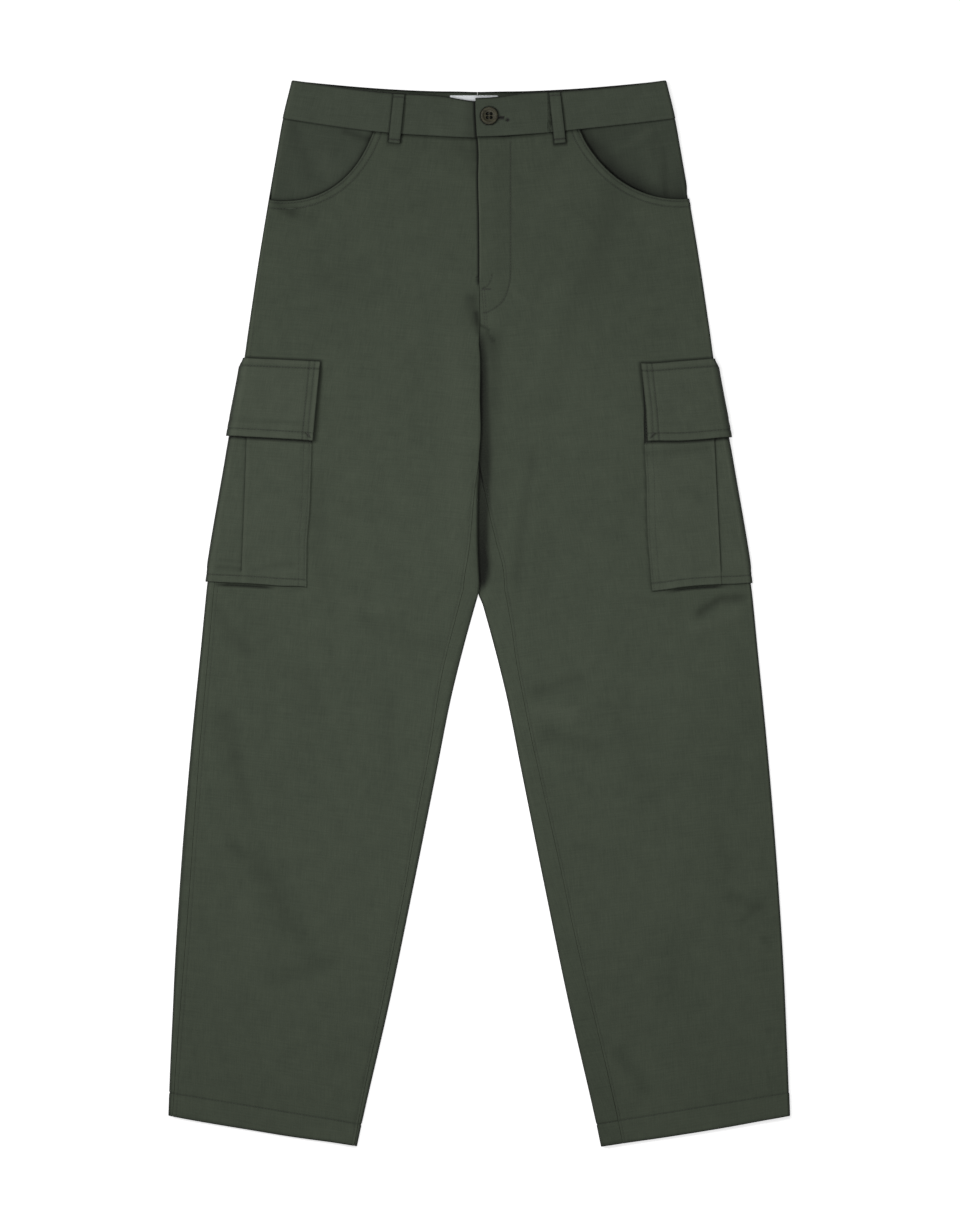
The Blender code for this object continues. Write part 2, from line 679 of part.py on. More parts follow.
def waist_button():
    x, y = BUTTON_AT
    heights = np.array((y,))
    band_top, _ = skin(LEFT, heights, way_to(heights, x))
    base = band_top[0, 2] + BAND_OUTSIDE + fly_raise(LEFT, heights, x)[0] + SEAM_GAP
    inner = BUTTON_RADIUS - BUTTON_RIM
    profile = (
        (0, 0),
        (BUTTON_RADIUS - BUTTON_CHAMFER, 0),
        (BUTTON_RADIUS, BUTTON_CHAMFER),
        (BUTTON_RADIUS, BUTTON_HEIGHT - BUTTON_ROUND),
        (BUTTON_RADIUS - BUTTON_ROUND, BUTTON_HEIGHT),
        (inner + BUTTON_ROUND / 2, BUTTON_HEIGHT),
        (inner - BUTTON_ROUND / 2, BUTTON_HEIGHT - BUTTON_DISH),
        (0, BUTTON_HEIGHT - BUTTON_DISH),
    )
    mesh = turned("waist_button", profile, (x, y, base), BUTTON_STEPS)
    button = add_object("waist_button", mesh, "button")
    half = BUTTON_HOLE_SPACING / 2
    for number, (right, up) in enumerate(((half, half), (-half, half), (-half, -half), (half, -half))):
        cut = button.modifiers.new(f"hole_{number}", "BOOLEAN")
        cut.operation = "DIFFERENCE"
        cut.object = hole_cutter(f"hole_cutter_{number}", x + right, y + up, base)


def neck_label():
    floor = BAND_LIFT - BAND_INSIDE + SEAM_GAP
    plate("neck_label", LABEL_LOW, LABEL_HIGH, floor, LABEL_WALL, "label")


def back_centre_loop():
    low = (-LOOP_WIDTH / 2, LOOP_BOTTOM + BACK_RISE)
    high = (LOOP_WIDTH / 2, LOOP_TOP + BACK_RISE)
    plate("belt_loop_back_centre", low, high, 0, LOOP_WALL, "twill_band")


def main():
    clear_scene()
    for side, name in SIDE_NAMES.items():
        front_panel(side)
        back_panel(side)
        hip_facing(side)
        waistband(side)
        cargo_pocket(side)
        cargo_flap(side)
        belt_loop(f"belt_loop_front_{name}", side, *FRONT_LOOPS[side], 1)
        belt_loop(f"belt_loop_back_{name}", side, BACK_LOOP_OUT, BACK_LOOP_OUT, -1)
    back_centre_loop()
    waist_button()
    neck_label()


main()
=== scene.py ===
import bpy
import math
import numpy as np
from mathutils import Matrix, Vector


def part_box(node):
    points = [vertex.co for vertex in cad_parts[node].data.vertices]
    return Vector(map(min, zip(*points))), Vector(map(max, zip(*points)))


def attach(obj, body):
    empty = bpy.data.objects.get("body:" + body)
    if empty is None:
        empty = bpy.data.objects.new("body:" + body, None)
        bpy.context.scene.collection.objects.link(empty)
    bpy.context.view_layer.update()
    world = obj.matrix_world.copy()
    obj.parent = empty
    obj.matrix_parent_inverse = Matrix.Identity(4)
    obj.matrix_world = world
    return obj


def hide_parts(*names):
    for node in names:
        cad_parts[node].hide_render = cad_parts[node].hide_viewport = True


# Cargo trousers laid flat on a pale floor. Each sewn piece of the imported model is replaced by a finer
# shell of cloth on the same surface, with its folded edges, seams, creases and stitches.
#
# A point of the outer skin of a leg is named by its height, read where its row meets the inner edge,
# and by its way round the leg from the outer fold: positive over the front, negative under the back.
# Left and right are the wearer's, so the left leg lies at +X. Sizes are in millimetres, and become
# metres as each mesh is made.

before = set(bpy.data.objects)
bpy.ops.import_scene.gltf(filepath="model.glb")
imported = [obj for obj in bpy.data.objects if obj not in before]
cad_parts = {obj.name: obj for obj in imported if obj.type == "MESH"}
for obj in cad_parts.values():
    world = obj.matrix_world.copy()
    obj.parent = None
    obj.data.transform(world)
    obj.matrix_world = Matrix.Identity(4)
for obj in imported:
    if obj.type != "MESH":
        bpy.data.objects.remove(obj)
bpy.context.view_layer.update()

MM = 0.001
LEFT, RIGHT = 1, -1
SIDE_NAMES = {LEFT: "left", RIGHT: "right"}
QUARTER_TURN = math.pi / 2

# Heights on the inner edge, up from the middle of the garment.
WAIST_TOP = 523.0
WAIST_SEAM = 483.5
FLY_BOTTOM = 333.0
CROTCH = 156.0
FORK = 20.4
HEM = -543.7
HEM_STITCH = -522.0

# Cloth.
WALL = 1.2
SEAM_GAP = 0.3
BAND_OUTSIDE = 0.5
BAND_INSIDE = -1.7
FACING_OUTSIDE = -1.7
FACING_WALL = 1.2
HEM_RELIEF = 0.5
SAG = 1.2
SAG_START, SAG_END = 5.0, 50.0

# Each row rises from its inner end to its outer end.
SLANT_AT_WAIST = 20.9
SLANT_AT_HEM = 32.7
BACK_RISE = 7.0
BACK_RISE_START = 300.0

# Fly and waistband laps, as distances past the centre line, and the slope that runs up to a lap.
FLY_UNDERLAP = 9.8
FLY_RUN_OUT = 12.0
FLY_RAISE_START, FLY_RAISE_END = 295.0, FLY_BOTTOM - 3
BAND_LAP = 2.0
BAND_UNDERLAP = 32.0
LAP_SLOPE = 10.0

# The centre line leans to the wearer's right at the fly, and the back's seam comes back from it.
CENTRE_DRIFT = 1.65
DRIFT_FADE = 45.0

# Heights between which the inner edge of a leg turns from a flat seam to a full fold.
FRONT_CURL_START, FRONT_CURL_END = 315.0, 255.0
BACK_CURL_START, BACK_CURL_END = 200.0, CROTCH + 2

# height, distance out from the centre line
OUTER_EDGE = (
    (543.7, 190.6), (503, 200.4), (472, 206.0), (431, 213.2), (370, 223.4), (268, 238.7),
    (166, 255.3), (23, 278.5), (-38, 284.6), (-119, 292.7), (-201, 299.9), (-282, 306.0),
    (-364, 311.1), (-446, 314.7), (-511, 317.2),
)

# height, distance out from the centre line
INNER_EDGE = (
    (FORK, 0.15), (3, 5.1), (-38, 16.3), (-79, 26.5), (-160, 42.8), (-282, 67.3), (-405, 92.8),
    (-507, 116.3), (HEM, 124.4),
)

# height, thickness of the flattened leg
THICKNESS = ((WAIST_TOP, 7.0), (400, 7.0), (250, 6.6), (100, 6.4), (HEM, 6.0))

# height, how far the rows bow down between their ends, as a power
BOW = ((WAIST_TOP, 1.25), (WAIST_SEAM, 1.5), (300, 1.0), (HEM, 1.0))

# height, how far the inseam lies in from the inner edge, on the front
INSEAM = {
    LEFT: (
        (CROTCH, 0.0), (123, 7.1), (96, 12.2), (67, 18.4), (42, 24.5), (-15, 22.5), (-48, 18.4),
        (-89, 16.3), (-170, 17.3), (-252, 19.4), (-333, 20.4), (-415, 22.4), (HEM, 22.4),
    ),
    RIGHT: (
        (CROTCH, 0.0), (127, 3.1), (70, 8.2), (27, 15.3), (-15, 15.3), (-68, 14.3), (-129, 11.2),
        (-212, 10.2), (-276, 8.2), (-383, 7.1), (-450, 6.1), (HEM, 3.1),
    ),
}

# height, how far the outseam lies in from the outer edge: negative on the back
OUTSEAM = {
    LEFT: ((WAIST_SEAM, -0.8), (HEM, -0.8)),
    RIGHT: (
        (WAIST_SEAM, 0.0), (240, 2.0), (20, 7.5), (-129, 9.2), (-400, 9.2), (-460, 7.1), (HEM, 4.5),
    ),
}

# Scoop of the front pocket, as a Bezier curve from the waist seam to the outseam: out, height
POCKET_MOUTH = {
    LEFT: ((103, WAIST_SEAM - 0.15), (119.8, 449), (157, 402.8), (214, 401.2)),
    RIGHT: ((108.3, WAIST_SEAM - 0.15), (121.5, 444.8), (153.5, 400.4), (213, 400.3)),
}
FACING_UNDERLAP = 8.0
FACING_OPENS = 15.0
FACING_SINK = (4.0, 25.0)
FACING_FOLD_SHARE = 0.5

# Cargo pockets and flaps.
POCKET_WIDTH = 176.0
POCKET_TOP = 226.0
POCKET_BOTTOM = 5.0
POCKET_GAP = 0.4
POCKET_WALL = 1.1
FLAP_TOP = 240.0
FLAP_SHOULDER = 232.0
FLAP_BOTTOM = 157.5
FLAP_GAP = 0.3
FLAP_WALL = 1.3
FLAP_FLARE = 1.3
PUFF_FADE_START = 30.0
PUFF_FADE = 0.4

# height, out to the pocket's front edge, out to the flap's front edge, out to the pleat
POCKET_LINES = {
    LEFT: ((240, 166.0, 165.2, 236.5), (157.5, 169.7, 173.2, 240.0), (5, 177.5, 180.0, 247.4)),
    RIGHT: ((240, 167.5, 161.7, 234.5), (157.5, 170.3, 169.3, 236.8), (5, 175.4, 178.0, 242.6)),
}

# How far the leg is raised by what lies under it.
POCKET_LIFT = POCKET_GAP + POCKET_WALL
FLAP_LIFT = FLAP_GAP + FLAP_WALL
LOOP_GAP = 0.3
LOOP_WALL = 1.0
BAND_LIFT = BAND_OUTSIDE + LOOP_GAP + LOOP_WALL
LIFT_REACH_BACK = 35.0
LIFT_REACH_FRONT = 100.0
LIFT_MARGIN = 1.0
LIFT_RUN_BELOW = 30.0
LIFT_RUN_ABOVE = 40.0
BAND_LIFT_START, BAND_LIFT_END = 430.0, 472.0

# How much of the strip between the inner fold and the inseam is curved.
ROLLED_SHARE = 0.9

# A soft fold keeps this share of its height at its ends, and fades out near the sides of the leg.
FOLD_END_SHARE = 0.4
FOLD_MARGIN_OUTER, FOLD_MARGIN_INNER = 14.0, 10.0

# Soft folds of the front: leg, from (out, up) to (out, up), half width, height or, below 0, depth
SOFT_FOLDS = (
    (LEFT, 146, 384, 64, 257, 16, 1.3),
    (LEFT, 118, 396, 40, 300, 12, -0.8),
    (LEFT, 64, 154, 35, 35, 15, 1.2),
    (LEFT, 92, 120, 60, 0, 14, -0.9),
    (LEFT, 232, 2, 272, 14, 8, -1.3),
    (LEFT, 210, -22, 262, -4, 9, 1.1),
    (LEFT, 84, -90, 138, -140, 18, 1.2),
    (LEFT, 60, -150, 120, -230, 14, -0.8),
    (LEFT, 196, -330, 262, -360, 16, -0.9),
    (LEFT, 232, -280, 292, -306, 13, 1.0),
    (LEFT, 7, 300, 7, 30, 10, -1.2),
    (RIGHT, 195, 409, 160, 396, 9, -1.0),
    (RIGHT, 70, 20, 112, -14, 16, 1.3),
    (RIGHT, 120, 250, 60, 200, 15, 0.9),
    (RIGHT, 254, -136, 224, -188, 10, -1.2),
    (RIGHT, 240, -120, 206, -178, 11, 1.2),
    (RIGHT, 250, -243, 188, -328, 10, -1.2),
    (RIGHT, 188, -328, 165, -365, 9, -1.0),
    (RIGHT, 232, -262, 172, -345, 13, 1.1),
    (RIGHT, 120, -180, 96, -260, 15, 0.9),
    (RIGHT, 5, 300, 5, 60, 7, 0.8),
)

# Small parts.
LOOP_WIDTH = 12.2
LOOP_ARCH = 1.0
LOOP_TOP = WAIST_TOP - 1.0
LOOP_BOTTOM = 473.5
FRONT_LOOPS = {LEFT: (77.0, 82.6), RIGHT: (81.6, 86.7)}
BACK_LOOP_OUT = 96.0
BUTTON_AT = (10.4, 506.9)
BUTTON_RADIUS = 9.4
BUTTON_HEIGHT = 3.0
BUTTON_RIM = 2.4
BUTTON_HOLE = 1.75
BUTTON_INSET = 0.7
BUTTON_CROWN, BUTTON_LIP = 1.2, 0.9
BUTTON_HOLE_SPACING = 3.9
LABEL_LOW = (-29.6, 499.0)
LABEL_HIGH = (22.2, 528.3)
LABEL_CORNER = 3.6
LABEL_WALL = 1.0

# Details that only show up close.
FACING_STEPS = 40
MOUTH_GAPE = {LEFT: 1.5, RIGHT: 0.7}
MOUTH_SHADE = {LEFT: 0.68, RIGHT: 0.7}
MOUTH_SHADE_RUN = {LEFT: 10.0, RIGHT: 2.0}
FACING_TUCKED = -2.3
BAND_EDGE = 1.0
POCKET_GAPES = {LEFT: (190, 254), RIGHT: (206, 272)}
POCKET_CREASES = (
    (RIGHT, 2.4, -0.7, (217, 51), (202, 54), (187, 55)),
    (RIGHT, 1.6, -0.9, (264, 55), (243, 54)),
    (RIGHT, 2.2, -1.3, (265, 47), (243, 46)),
    (RIGHT, 5.0, -0.5, (206, 190), (196, 188)),
    (LEFT, 5.0, -1.0, (176, 168), (204, 170), (232, 172)),
    (LEFT, 6.0, 0.4, (180, 150), (186, 110)),
    (LEFT, 7.0, -0.4, (228, 120), (214, 128)),
    (LEFT, 8.0, -0.4, (198, 96), (216, 88)),
)
FLY_CURVE = ((32.3, 350.0), (31.5, 325.0), (24.0, 309.5), (2.0, 306.5))
FLY_ARC = ((2.0, 331.5), (8.0, 333.0), (12.5, 338.0), (12.5, 346.0))
FLY_TAIL = ((0.6, 331.0), (3.4, 291.0))
FLY_BARTACK = ((1.0, 330.5), (11.0, 330.5))
BUTTONHOLE = (25.2, 504.9)
BUTTONHOLE_KNOT = (28.8, 502.7)
TWILL_PITCH = 0.95
TWILL_ANGLE = 1.1

# Camera and light, in metres but for the view and the floor's drop, which are in millimetres.
CAMERA_HEIGHT = 5.0
VIEW_HEIGHT = 1246.4
VIEW_CENTRE = (1.02, 2.04)
VIEW_LEVEL = 8.0
FLOOR_HALF_WIDTH = 4.0
FLOOR_DROP = -0.2
FLOOR_GLOW = 0.62
WORLD_LIGHT = 0.28
LAMPS = (
    ("key", (-2.6, 0.9, 2.4), 0.9, 48.5),
    ("overhead", (-0.05, 0.03, 0.85), 0.6, 3.6),
)


def ease(start, end, value):
    """0 before start, 1 after end, and a smooth step between them."""
    part = np.clip((value - start) / (end - start), 0, 1)
    return part * part * (3 - 2 * part)


def along(table, heights, column=1):
    """A column of a table at any height or distance out, on a smooth curve through its rows."""
    rows = np.array(sorted(table), float)
    keys, values = rows[:, 0], rows[:, column]
    slopes = np.gradient(values, keys)
    heights = np.asarray(heights, float)
    low = np.clip(np.searchsorted(keys, heights) - 1, 0, len(keys) - 2)
    span = keys[low + 1] - keys[low]
    part = np.clip((heights - keys[low]) / span, 0, 1)
    rest = 1 - part
    start = values[low] * (1 + 2 * part) + slopes[low] * span * part
    end = values[low + 1] * (1 + 2 * rest) - slopes[low + 1] * span * rest
    return start * rest**2 + end * part**2


def bezier(corners, steps):
    """Points of a cubic Bezier curve, closer together towards its end."""
    part = 1 - np.linspace(1, 0, steps + 1)[:, None] ** 2
    a, b, c, d = np.array(corners, float)
    rest = 1 - part
    return a * rest**3 + 3 * b * rest**2 * part + 3 * c * rest * part**2 + d * part**3


def slant(height):
    """How far a row rises from its inner end to its outer end."""
    down = (WAIST_SEAM - height) / (WAIST_SEAM - HEM)
    return SLANT_AT_WAIST + (SLANT_AT_HEM - SLANT_AT_WAIST) * down


def outer_edge(height):
    return along(OUTER_EDGE, height + slant(height))


def inner_edge(side, height, front):
    """Out from the centre line to the inner edge of a row, with the laps of the fly and waistband."""
    edge = along(INNER_EDGE, np.minimum(height, FORK))
    drift = CENTRE_DRIFT * ease(FORK, CROTCH, height)
    back_edge = edge - side * drift * (1 - ease(CROTCH, CROTCH + DRIFT_FADE, height))
    if side == LEFT:
        front_edge = np.where(height > WAIST_SEAM, -BAND_LAP, edge - drift)
    else:
        underlap = FLY_UNDERLAP * ease(FLY_BOTTOM, FLY_BOTTOM + FLY_RUN_OUT, height)
        front_edge = np.where(height > WAIST_SEAM, -BAND_UNDERLAP, edge + drift - underlap)
    return np.where(front, front_edge, back_edge)


def fold_radius(height):
    return along(THICKNESS, height) / 2


def half_girth(side, height, front):
    """The way round one face of the leg, from the outer fold to the inner one."""
    radius = fold_radius(height)
    width = outer_edge(height) - inner_edge(side, height, front)
    return width - 2 * radius + 2 * radius * QUARTER_TURN


def way_in(inset, height):
    """The way round a fold to a point this far in from it, in plan."""
    radius = fold_radius(height)
    inset = np.asarray(inset, float)
    within = np.clip(inset / radius, 0, 1)
    return np.where(inset < radius, radius * np.arccos(1 - within), inset - radius + radius * QUARTER_TURN)


def way_to(height, out):
    """The way round the front to a point this far out from the centre line."""
    return way_in(outer_edge(height) - out, height)


def front_curl(height):
    """How far the front rolls down at the centre: 0 flat, 1 a full fold."""
    return ease(FRONT_CURL_START, FRONT_CURL_END, height)


def back_curl(height):
    return ease(BACK_CURL_START, BACK_CURL_END, height)


def pocket_back_edge(side, height):
    """Out to the cargo pocket's edge on the back, from its width and its front edge."""
    return 2 * outer_edge(height) - along(POCKET_LINES[side], height, 1) - POCKET_WIDTH


def lift(side, height, out, front):
    """How far the cloth is raised by the pocket, flap and belt loops that lie under it."""
    edge = pocket_back_edge(side, height)
    reach = np.where(front, LIFT_REACH_FRONT, LIFT_REACH_BACK)
    beside = ease(edge - reach, edge, out)
    pocket_end, flap_end = POCKET_BOTTOM - LIFT_MARGIN, FLAP_BOTTOM - 2 * LIFT_MARGIN
    on_pocket = ease(pocket_end - LIFT_RUN_BELOW, pocket_end, height)
    on_flap = ease(flap_end - LIFT_RUN_BELOW, flap_end, height)
    above = ease(FLAP_TOP + LIFT_RUN_ABOVE, FLAP_TOP + LIFT_MARGIN, height)
    thigh = beside * above * (POCKET_LIFT * on_pocket + FLAP_LIFT * on_flap)
    return thigh + BAND_LIFT * ease(BAND_LIFT_START, BAND_LIFT_END, height)


def soft_folds(side, out, up):
    """Height of the soft folds at a point of the front."""
    total = np.zeros(np.shape(out))
    for leg, out_1, up_1, out_2, up_2, half_width, height in SOFT_FOLDS:
        if leg != side:
            continue
        run = np.array((out_2 - out_1, up_2 - up_1), float)
        part = np.clip(((out - out_1) * run[0] + (up - up_1) * run[1]) / (run @ run), 0, 1)
        away = np.hypot(out - out_1 - part * run[0], up - up_1 - part * run[1])
        swell = FOLD_END_SHARE + (1 - FOLD_END_SHARE) * np.sin(math.pi * part)
        total += height * swell * line_at(away, half_width)
    return total


def skin(side, height, way):
    """Points on the outer skin of a leg, and the directions out of the cloth there."""
    height, way = np.broadcast_arrays(np.asarray(height, float), np.asarray(way, float))
    girth = half_girth(side, height, False)
    way = np.where(way < -girth, way + 2 * girth, way)
    front = way >= 0
    radius = fold_radius(height)
    outer = outer_edge(height)
    inner = inner_edge(side, height, front)
    flat = outer - inner - 2 * radius
    past_fold = np.abs(way) - radius * QUARTER_TURN
    turn = np.clip(np.abs(way) / radius, 0, QUARTER_TURN)
    turn_in = np.clip((past_fold - flat) / radius, 0, QUARTER_TURN)
    curl = np.where(front, front_curl(height), back_curl(height))

    inset = radius * (1 - np.cos(turn)) + np.clip(past_fold, 0, flat) + radius * np.sin(turn_in)
    out = outer - inset
    centre = along(INNER_EDGE, np.minimum(height, FORK))
    across = np.clip(np.abs(out - centre) / (outer - centre), 0, 1)
    rise = np.where(front, 0, BACK_RISE * ease(BACK_RISE_START, WAIST_SEAM, height)) * (1 - across)
    up = height + slant(height) * across ** along(BOW, height) + rise

    top = radius * (1 + np.sin(turn)) - curl * radius * (1 - np.cos(turn_in))
    from_inner = 1 - curl + curl * ease(SAG_START, SAG_END, out - inner)
    top = top - SAG * ease(SAG_START, SAG_END, inset) * from_inner
    by_fold = 1 - curl + curl * ease(0, FOLD_MARGIN_INNER, out - inner)
    top = top + soft_folds(side, out, up) * ease(0, FOLD_MARGIN_OUTER, inset) * by_fold
    bottom = radius * (1 - np.sin(turn)) + curl * radius * (1 - np.cos(turn_in))
    z = np.where(front, top, bottom) + lift(side, height, out, front)

    outward = np.cos(turn) - np.sin(curl * turn_in)
    upward = np.sin(turn) * np.cos(curl * turn_in)
    points = np.stack((side * out, up, z), axis=-1)
    directions = np.stack((side * outward, np.zeros_like(z), np.where(front, upward, -upward)), axis=-1)
    return points, directions


def runs(edges, divisions):
    """Columns from edge to edge, with so many even steps in each stretch."""
    edges = np.broadcast_arrays(*edges)
    columns = [edges[0]]
    for start, end, count in zip(edges, edges[1:], divisions):
        columns += [start + (end - start) * step / count for step in range(1, count + 1)]
    return np.stack(columns, axis=1)


def outseam(side, height):
    inset = along(OUTSEAM[side], height)
    return np.sign(inset) * way_in(np.abs(inset), height)


def pocket_mouth(side, shift, steps):
    """Heights and ways of the pocket's edge, moved in and down by so much."""
    out, height = (np.array(POCKET_MOUTH[side], float) - shift).T
    way = way_to(height, out)
    way[-1] = outseam(side, height[-1]) + SEAM_GAP / 2 + shift
    way, height = bezier(np.stack((way, height), axis=1), steps).T
    return height, way


def inseam(side, height):
    """The way from the inner fold over to the inseam. It is 0 above the crotch."""
    return way_in(along(INSEAM[side], np.minimum(height, CROTCH)), height)


def fly_raise(side, height, out):
    """How far the left front is raised where it laps over the right one."""
    if side == RIGHT:
        return np.zeros(np.broadcast(height, out).shape)
    on_band = height > WAIST_SEAM
    amount = np.where(on_band, BAND_OUTSIDE - BAND_INSIDE + SEAM_GAP, WALL + SEAM_GAP)
    amount = amount * ease(FLY_RAISE_START, FLY_RAISE_END, height)
    reach = np.where(on_band, BAND_UNDERLAP, FLY_UNDERLAP)
    return amount * ease(2 * reach + LAP_SLOPE, reach, out)


def under_stops(side, heights):
    """Ways under the leg to the cargo pocket's back edge and to where its lift ends."""
    edge = -way_to(heights, pocket_back_edge(side, heights))
    return edge, edge - LIFT_REACH_BACK


# Fine cloth. A folded edge is rounded, and its underside turns in under the piece.
EDGE_RADIUS = 0.55
# Edges are darkened: partly the seams' own dark, partly painted shade where an edge turns away or meets a
# gap.
BORDER_SHADE = 0.62
BORDER_WIDTH = 0.6
TURN_UNDER = 5
RIM = (0.12, 0.3, 0.6, 1.1)
STITCHED_RIM = (0.12, 0.3, 0.6, 1.1, 1.7, 2.3, 2.9, 4, 5.5, 7, 7.8, 8.6, 9.4, 11)
GROOVE_WIDTH = 0.9
GROOVE_DEPTH = 0.3
LINE_WIDTH = 0.75
FRONT_SPACING = 2.6
BAND_SPACING = 1.3
BACK_SPACING = 4.2
SMALL_SPACING = 1.6
FLY_SPACING = 1.2
PUCKER_REACH = 6.0
PUCKER_HEIGHT = 0.1
PUCKER_LENGTH = 9.0

# How much less the edges sink where two panels are sewn together.
FELLED = 0.33

# Creases of the front: leg, half width, height or, below 0, depth, and the path in (out, up)
CREASES = (
    (LEFT, 16, -0.95, (139, 428), (128, 385), (112, 345)),
    (LEFT, 11, -0.5, (102, 318), (84, 268), (74, 214)),
    (LEFT, 6, -0.8, (56, 168), (46, 95), (41, 35)),
    (LEFT, 12, 0.5, (164, 416), (185, 391)),
    (LEFT, 16, 0.4, (102, 445), (75, 420)),
    (LEFT, 4.5, -2.2, (227, 0), (248, 14), (276, 15)),
    (LEFT, 7, 0.6, (222, -16), (262, 0)),
    (LEFT, 6, -0.4, (164, 15), (185, 9)),
    (LEFT, 11, -0.4, (160, 122), (138, 84)),
    (LEFT, 8, -1.1, (62, -82), (98, -68)),
    (LEFT, 9, 0.9, (62, -100), (96, -104)),
    (LEFT, 9, -0.9, (72, -126), (120, -136)),
    (LEFT, 12, -0.4, (134, -28), (149, -43)),
    (LEFT, 14, -0.5, (144, -94), (160, -140), (176, -186)),
    (LEFT, 9, -0.6, (246, -222), (256, -262)),
    (LEFT, 6, -1.0, (258, -290), (292, -304)),
    (LEFT, 5, -0.7, (267, -318), (292, -294)),
    (LEFT, 5, -0.9, (292, -334), (306, -345)),
    (LEFT, 22, -0.6, (200, -352), (208, -392)),
    (LEFT, 6, -0.4, (128, -379), (142, -383)),
    (LEFT, 7, -0.8, (146, -448), (172, -490)),
    (LEFT, 3, 0.4, (5, 421), (26, 430)),
    (LEFT, 3, 0.35, (6, 372), (24, 380)),
    (LEFT, 3, -0.4, (6, 452), (22, 470)),
    (LEFT, 3, 0.4, (34, 330), (48, 318)),
    (RIGHT, 6, -2.0, (206, 418), (190, 410)),
    (RIGHT, 7, -0.8, (188, 410), (168, 403)),
    (RIGHT, 17, -0.5, (150, 345), (122, 330)),
    (RIGHT, 12, -0.55, (126, 107), (108, 102)),
    (RIGHT, 7, -0.5, (60, 480), (9, 474)),
    (RIGHT, 14, 0.5, (24, 285), (22, 60)),
    (RIGHT, 9, -0.6, (163, 136), (161, 70), (150, 8)),
    (RIGHT, 8, 0.6, (142, 13), (101, 1)),
    (RIGHT, 11, -0.6, (116, -2), (84, -20), (44, -36)),
    (RIGHT, 7, -0.9, (264, -2), (253, -20), (236, -40)),
    (RIGHT, 14, -0.5, (182, -66), (168, -92)),
    (RIGHT, 7, -0.5, (89, -89), (93, -180)),
    (RIGHT, 9, -0.9, (258, -106), (247, -150), (236, -200)),
    (RIGHT, 6, -0.8, (252, -238), (242, -247)),
    (RIGHT, 15, -0.8, (224, -256), (207, -288), (190, -322)),
    (RIGHT, 12, -0.5, (178, -338), (170, -350)),
    (RIGHT, 9, -0.8, (206, -374), (180, -368), (152, -358)),
    (RIGHT, 12, 0.4, (240, -300), (228, -344)),
)

# Creases of the cloth inside the front pockets, in the same columns.
FACING_CREASES = (
    (RIGHT, 3.2, -2.2, (136, 492), (113, 485)),
    (RIGHT, 7, -0.9, (191, 505), (180, 470), (172, 448)),
    (RIGHT, 8, 0.4, (160, 470), (150, 440)),
    (LEFT, 5, 1.3, (137, 470), (155, 480), (174, 492)),
    (LEFT, 8, 0.8, (172, 472), (180, 442)),
    (LEFT, 10, -1.4, (136, 457), (164, 431)),
    (LEFT, 7, -1.2, (118, 478), (134, 470)),
    (LEFT, 3, -0.9, (190, 472), (191, 428)),
)

# Painted shadows on the front, where the cloth lies in its own shade off the creases, in the same columns but
# with how dark they are.
PAINTED_SHADOWS = (
    (RIGHT, 6.5, -0.34, (9, 320), (6, 298)),
    (RIGHT, 3.0, -0.28, (6, 495), (5, 462)),
    (RIGHT, 10.0, -0.05, (230, -250), (212, -283), (192, -318)),
    (RIGHT, 2.8, -0.34, (5.4, 306), (3.4, 286)),
    (RIGHT, 6.0, -0.14, (20, 476), (6, 450)),
    (LEFT, 1.6, -0.4, (-1.5, 293.8), (8.7, 288.7)),
    (LEFT, 1.8, -0.28, (6, 286.5), (15, 277.4)),
)

# Creases of the underside, pressed shallow by what it lies on, in the same columns.
BACK_FOLDS = (
    (LEFT, 16, -0.9, (150, 120), (60, 60)),
    (LEFT, 13, -0.8, (210, 40), (110, 20)),
    (LEFT, 15, -0.8, (130, -120), (230, -150)),
    (LEFT, 14, -0.7, (160, 380), (100, 330)),
    (LEFT, 14, -0.6, (200, -330), (260, -380)),
    (RIGHT, 15, -0.9, (160, 112), (66, 70)),
    (RIGHT, 14, -0.8, (200, 28), (120, 2)),
    (RIGHT, 15, -0.8, (120, -90), (240, -128)),
    (RIGHT, 15, -0.7, (150, 376), (110, 320)),
    (RIGHT, 15, -0.6, (190, -290), (270, -350)),
)

# How far the waist seam and the waistband's edges stand above their plain lines: out, lift
SEAM_LIFT = {
    LEFT: ((-3, 2.2), (60, 2.1), (110, 2.2), (150, 1.5), (200, 0)),
    RIGHT: ((-40, 1.0), (20, 1.1), (45, 0.9), (75, 0), (200, 0)),
}
TOP_LIFT = {
    LEFT: ((-6, 1.6), (-1, 2.1), (10, 2.2), (18, 2.4), (30, 3.0), (42, 4.0), (60, 3.5), (98, 1.4), (140, 0)),
    RIGHT: ((-40, 0), (18, 0), (26, 0.8), (34, 1.7), (60, 1.4), (88, 0), (200, 0)),
}
BACK_TOP_LIFT = ((0, 2.0), (20, 1.9), (45, 1.0), (90, 0), (200, 0))

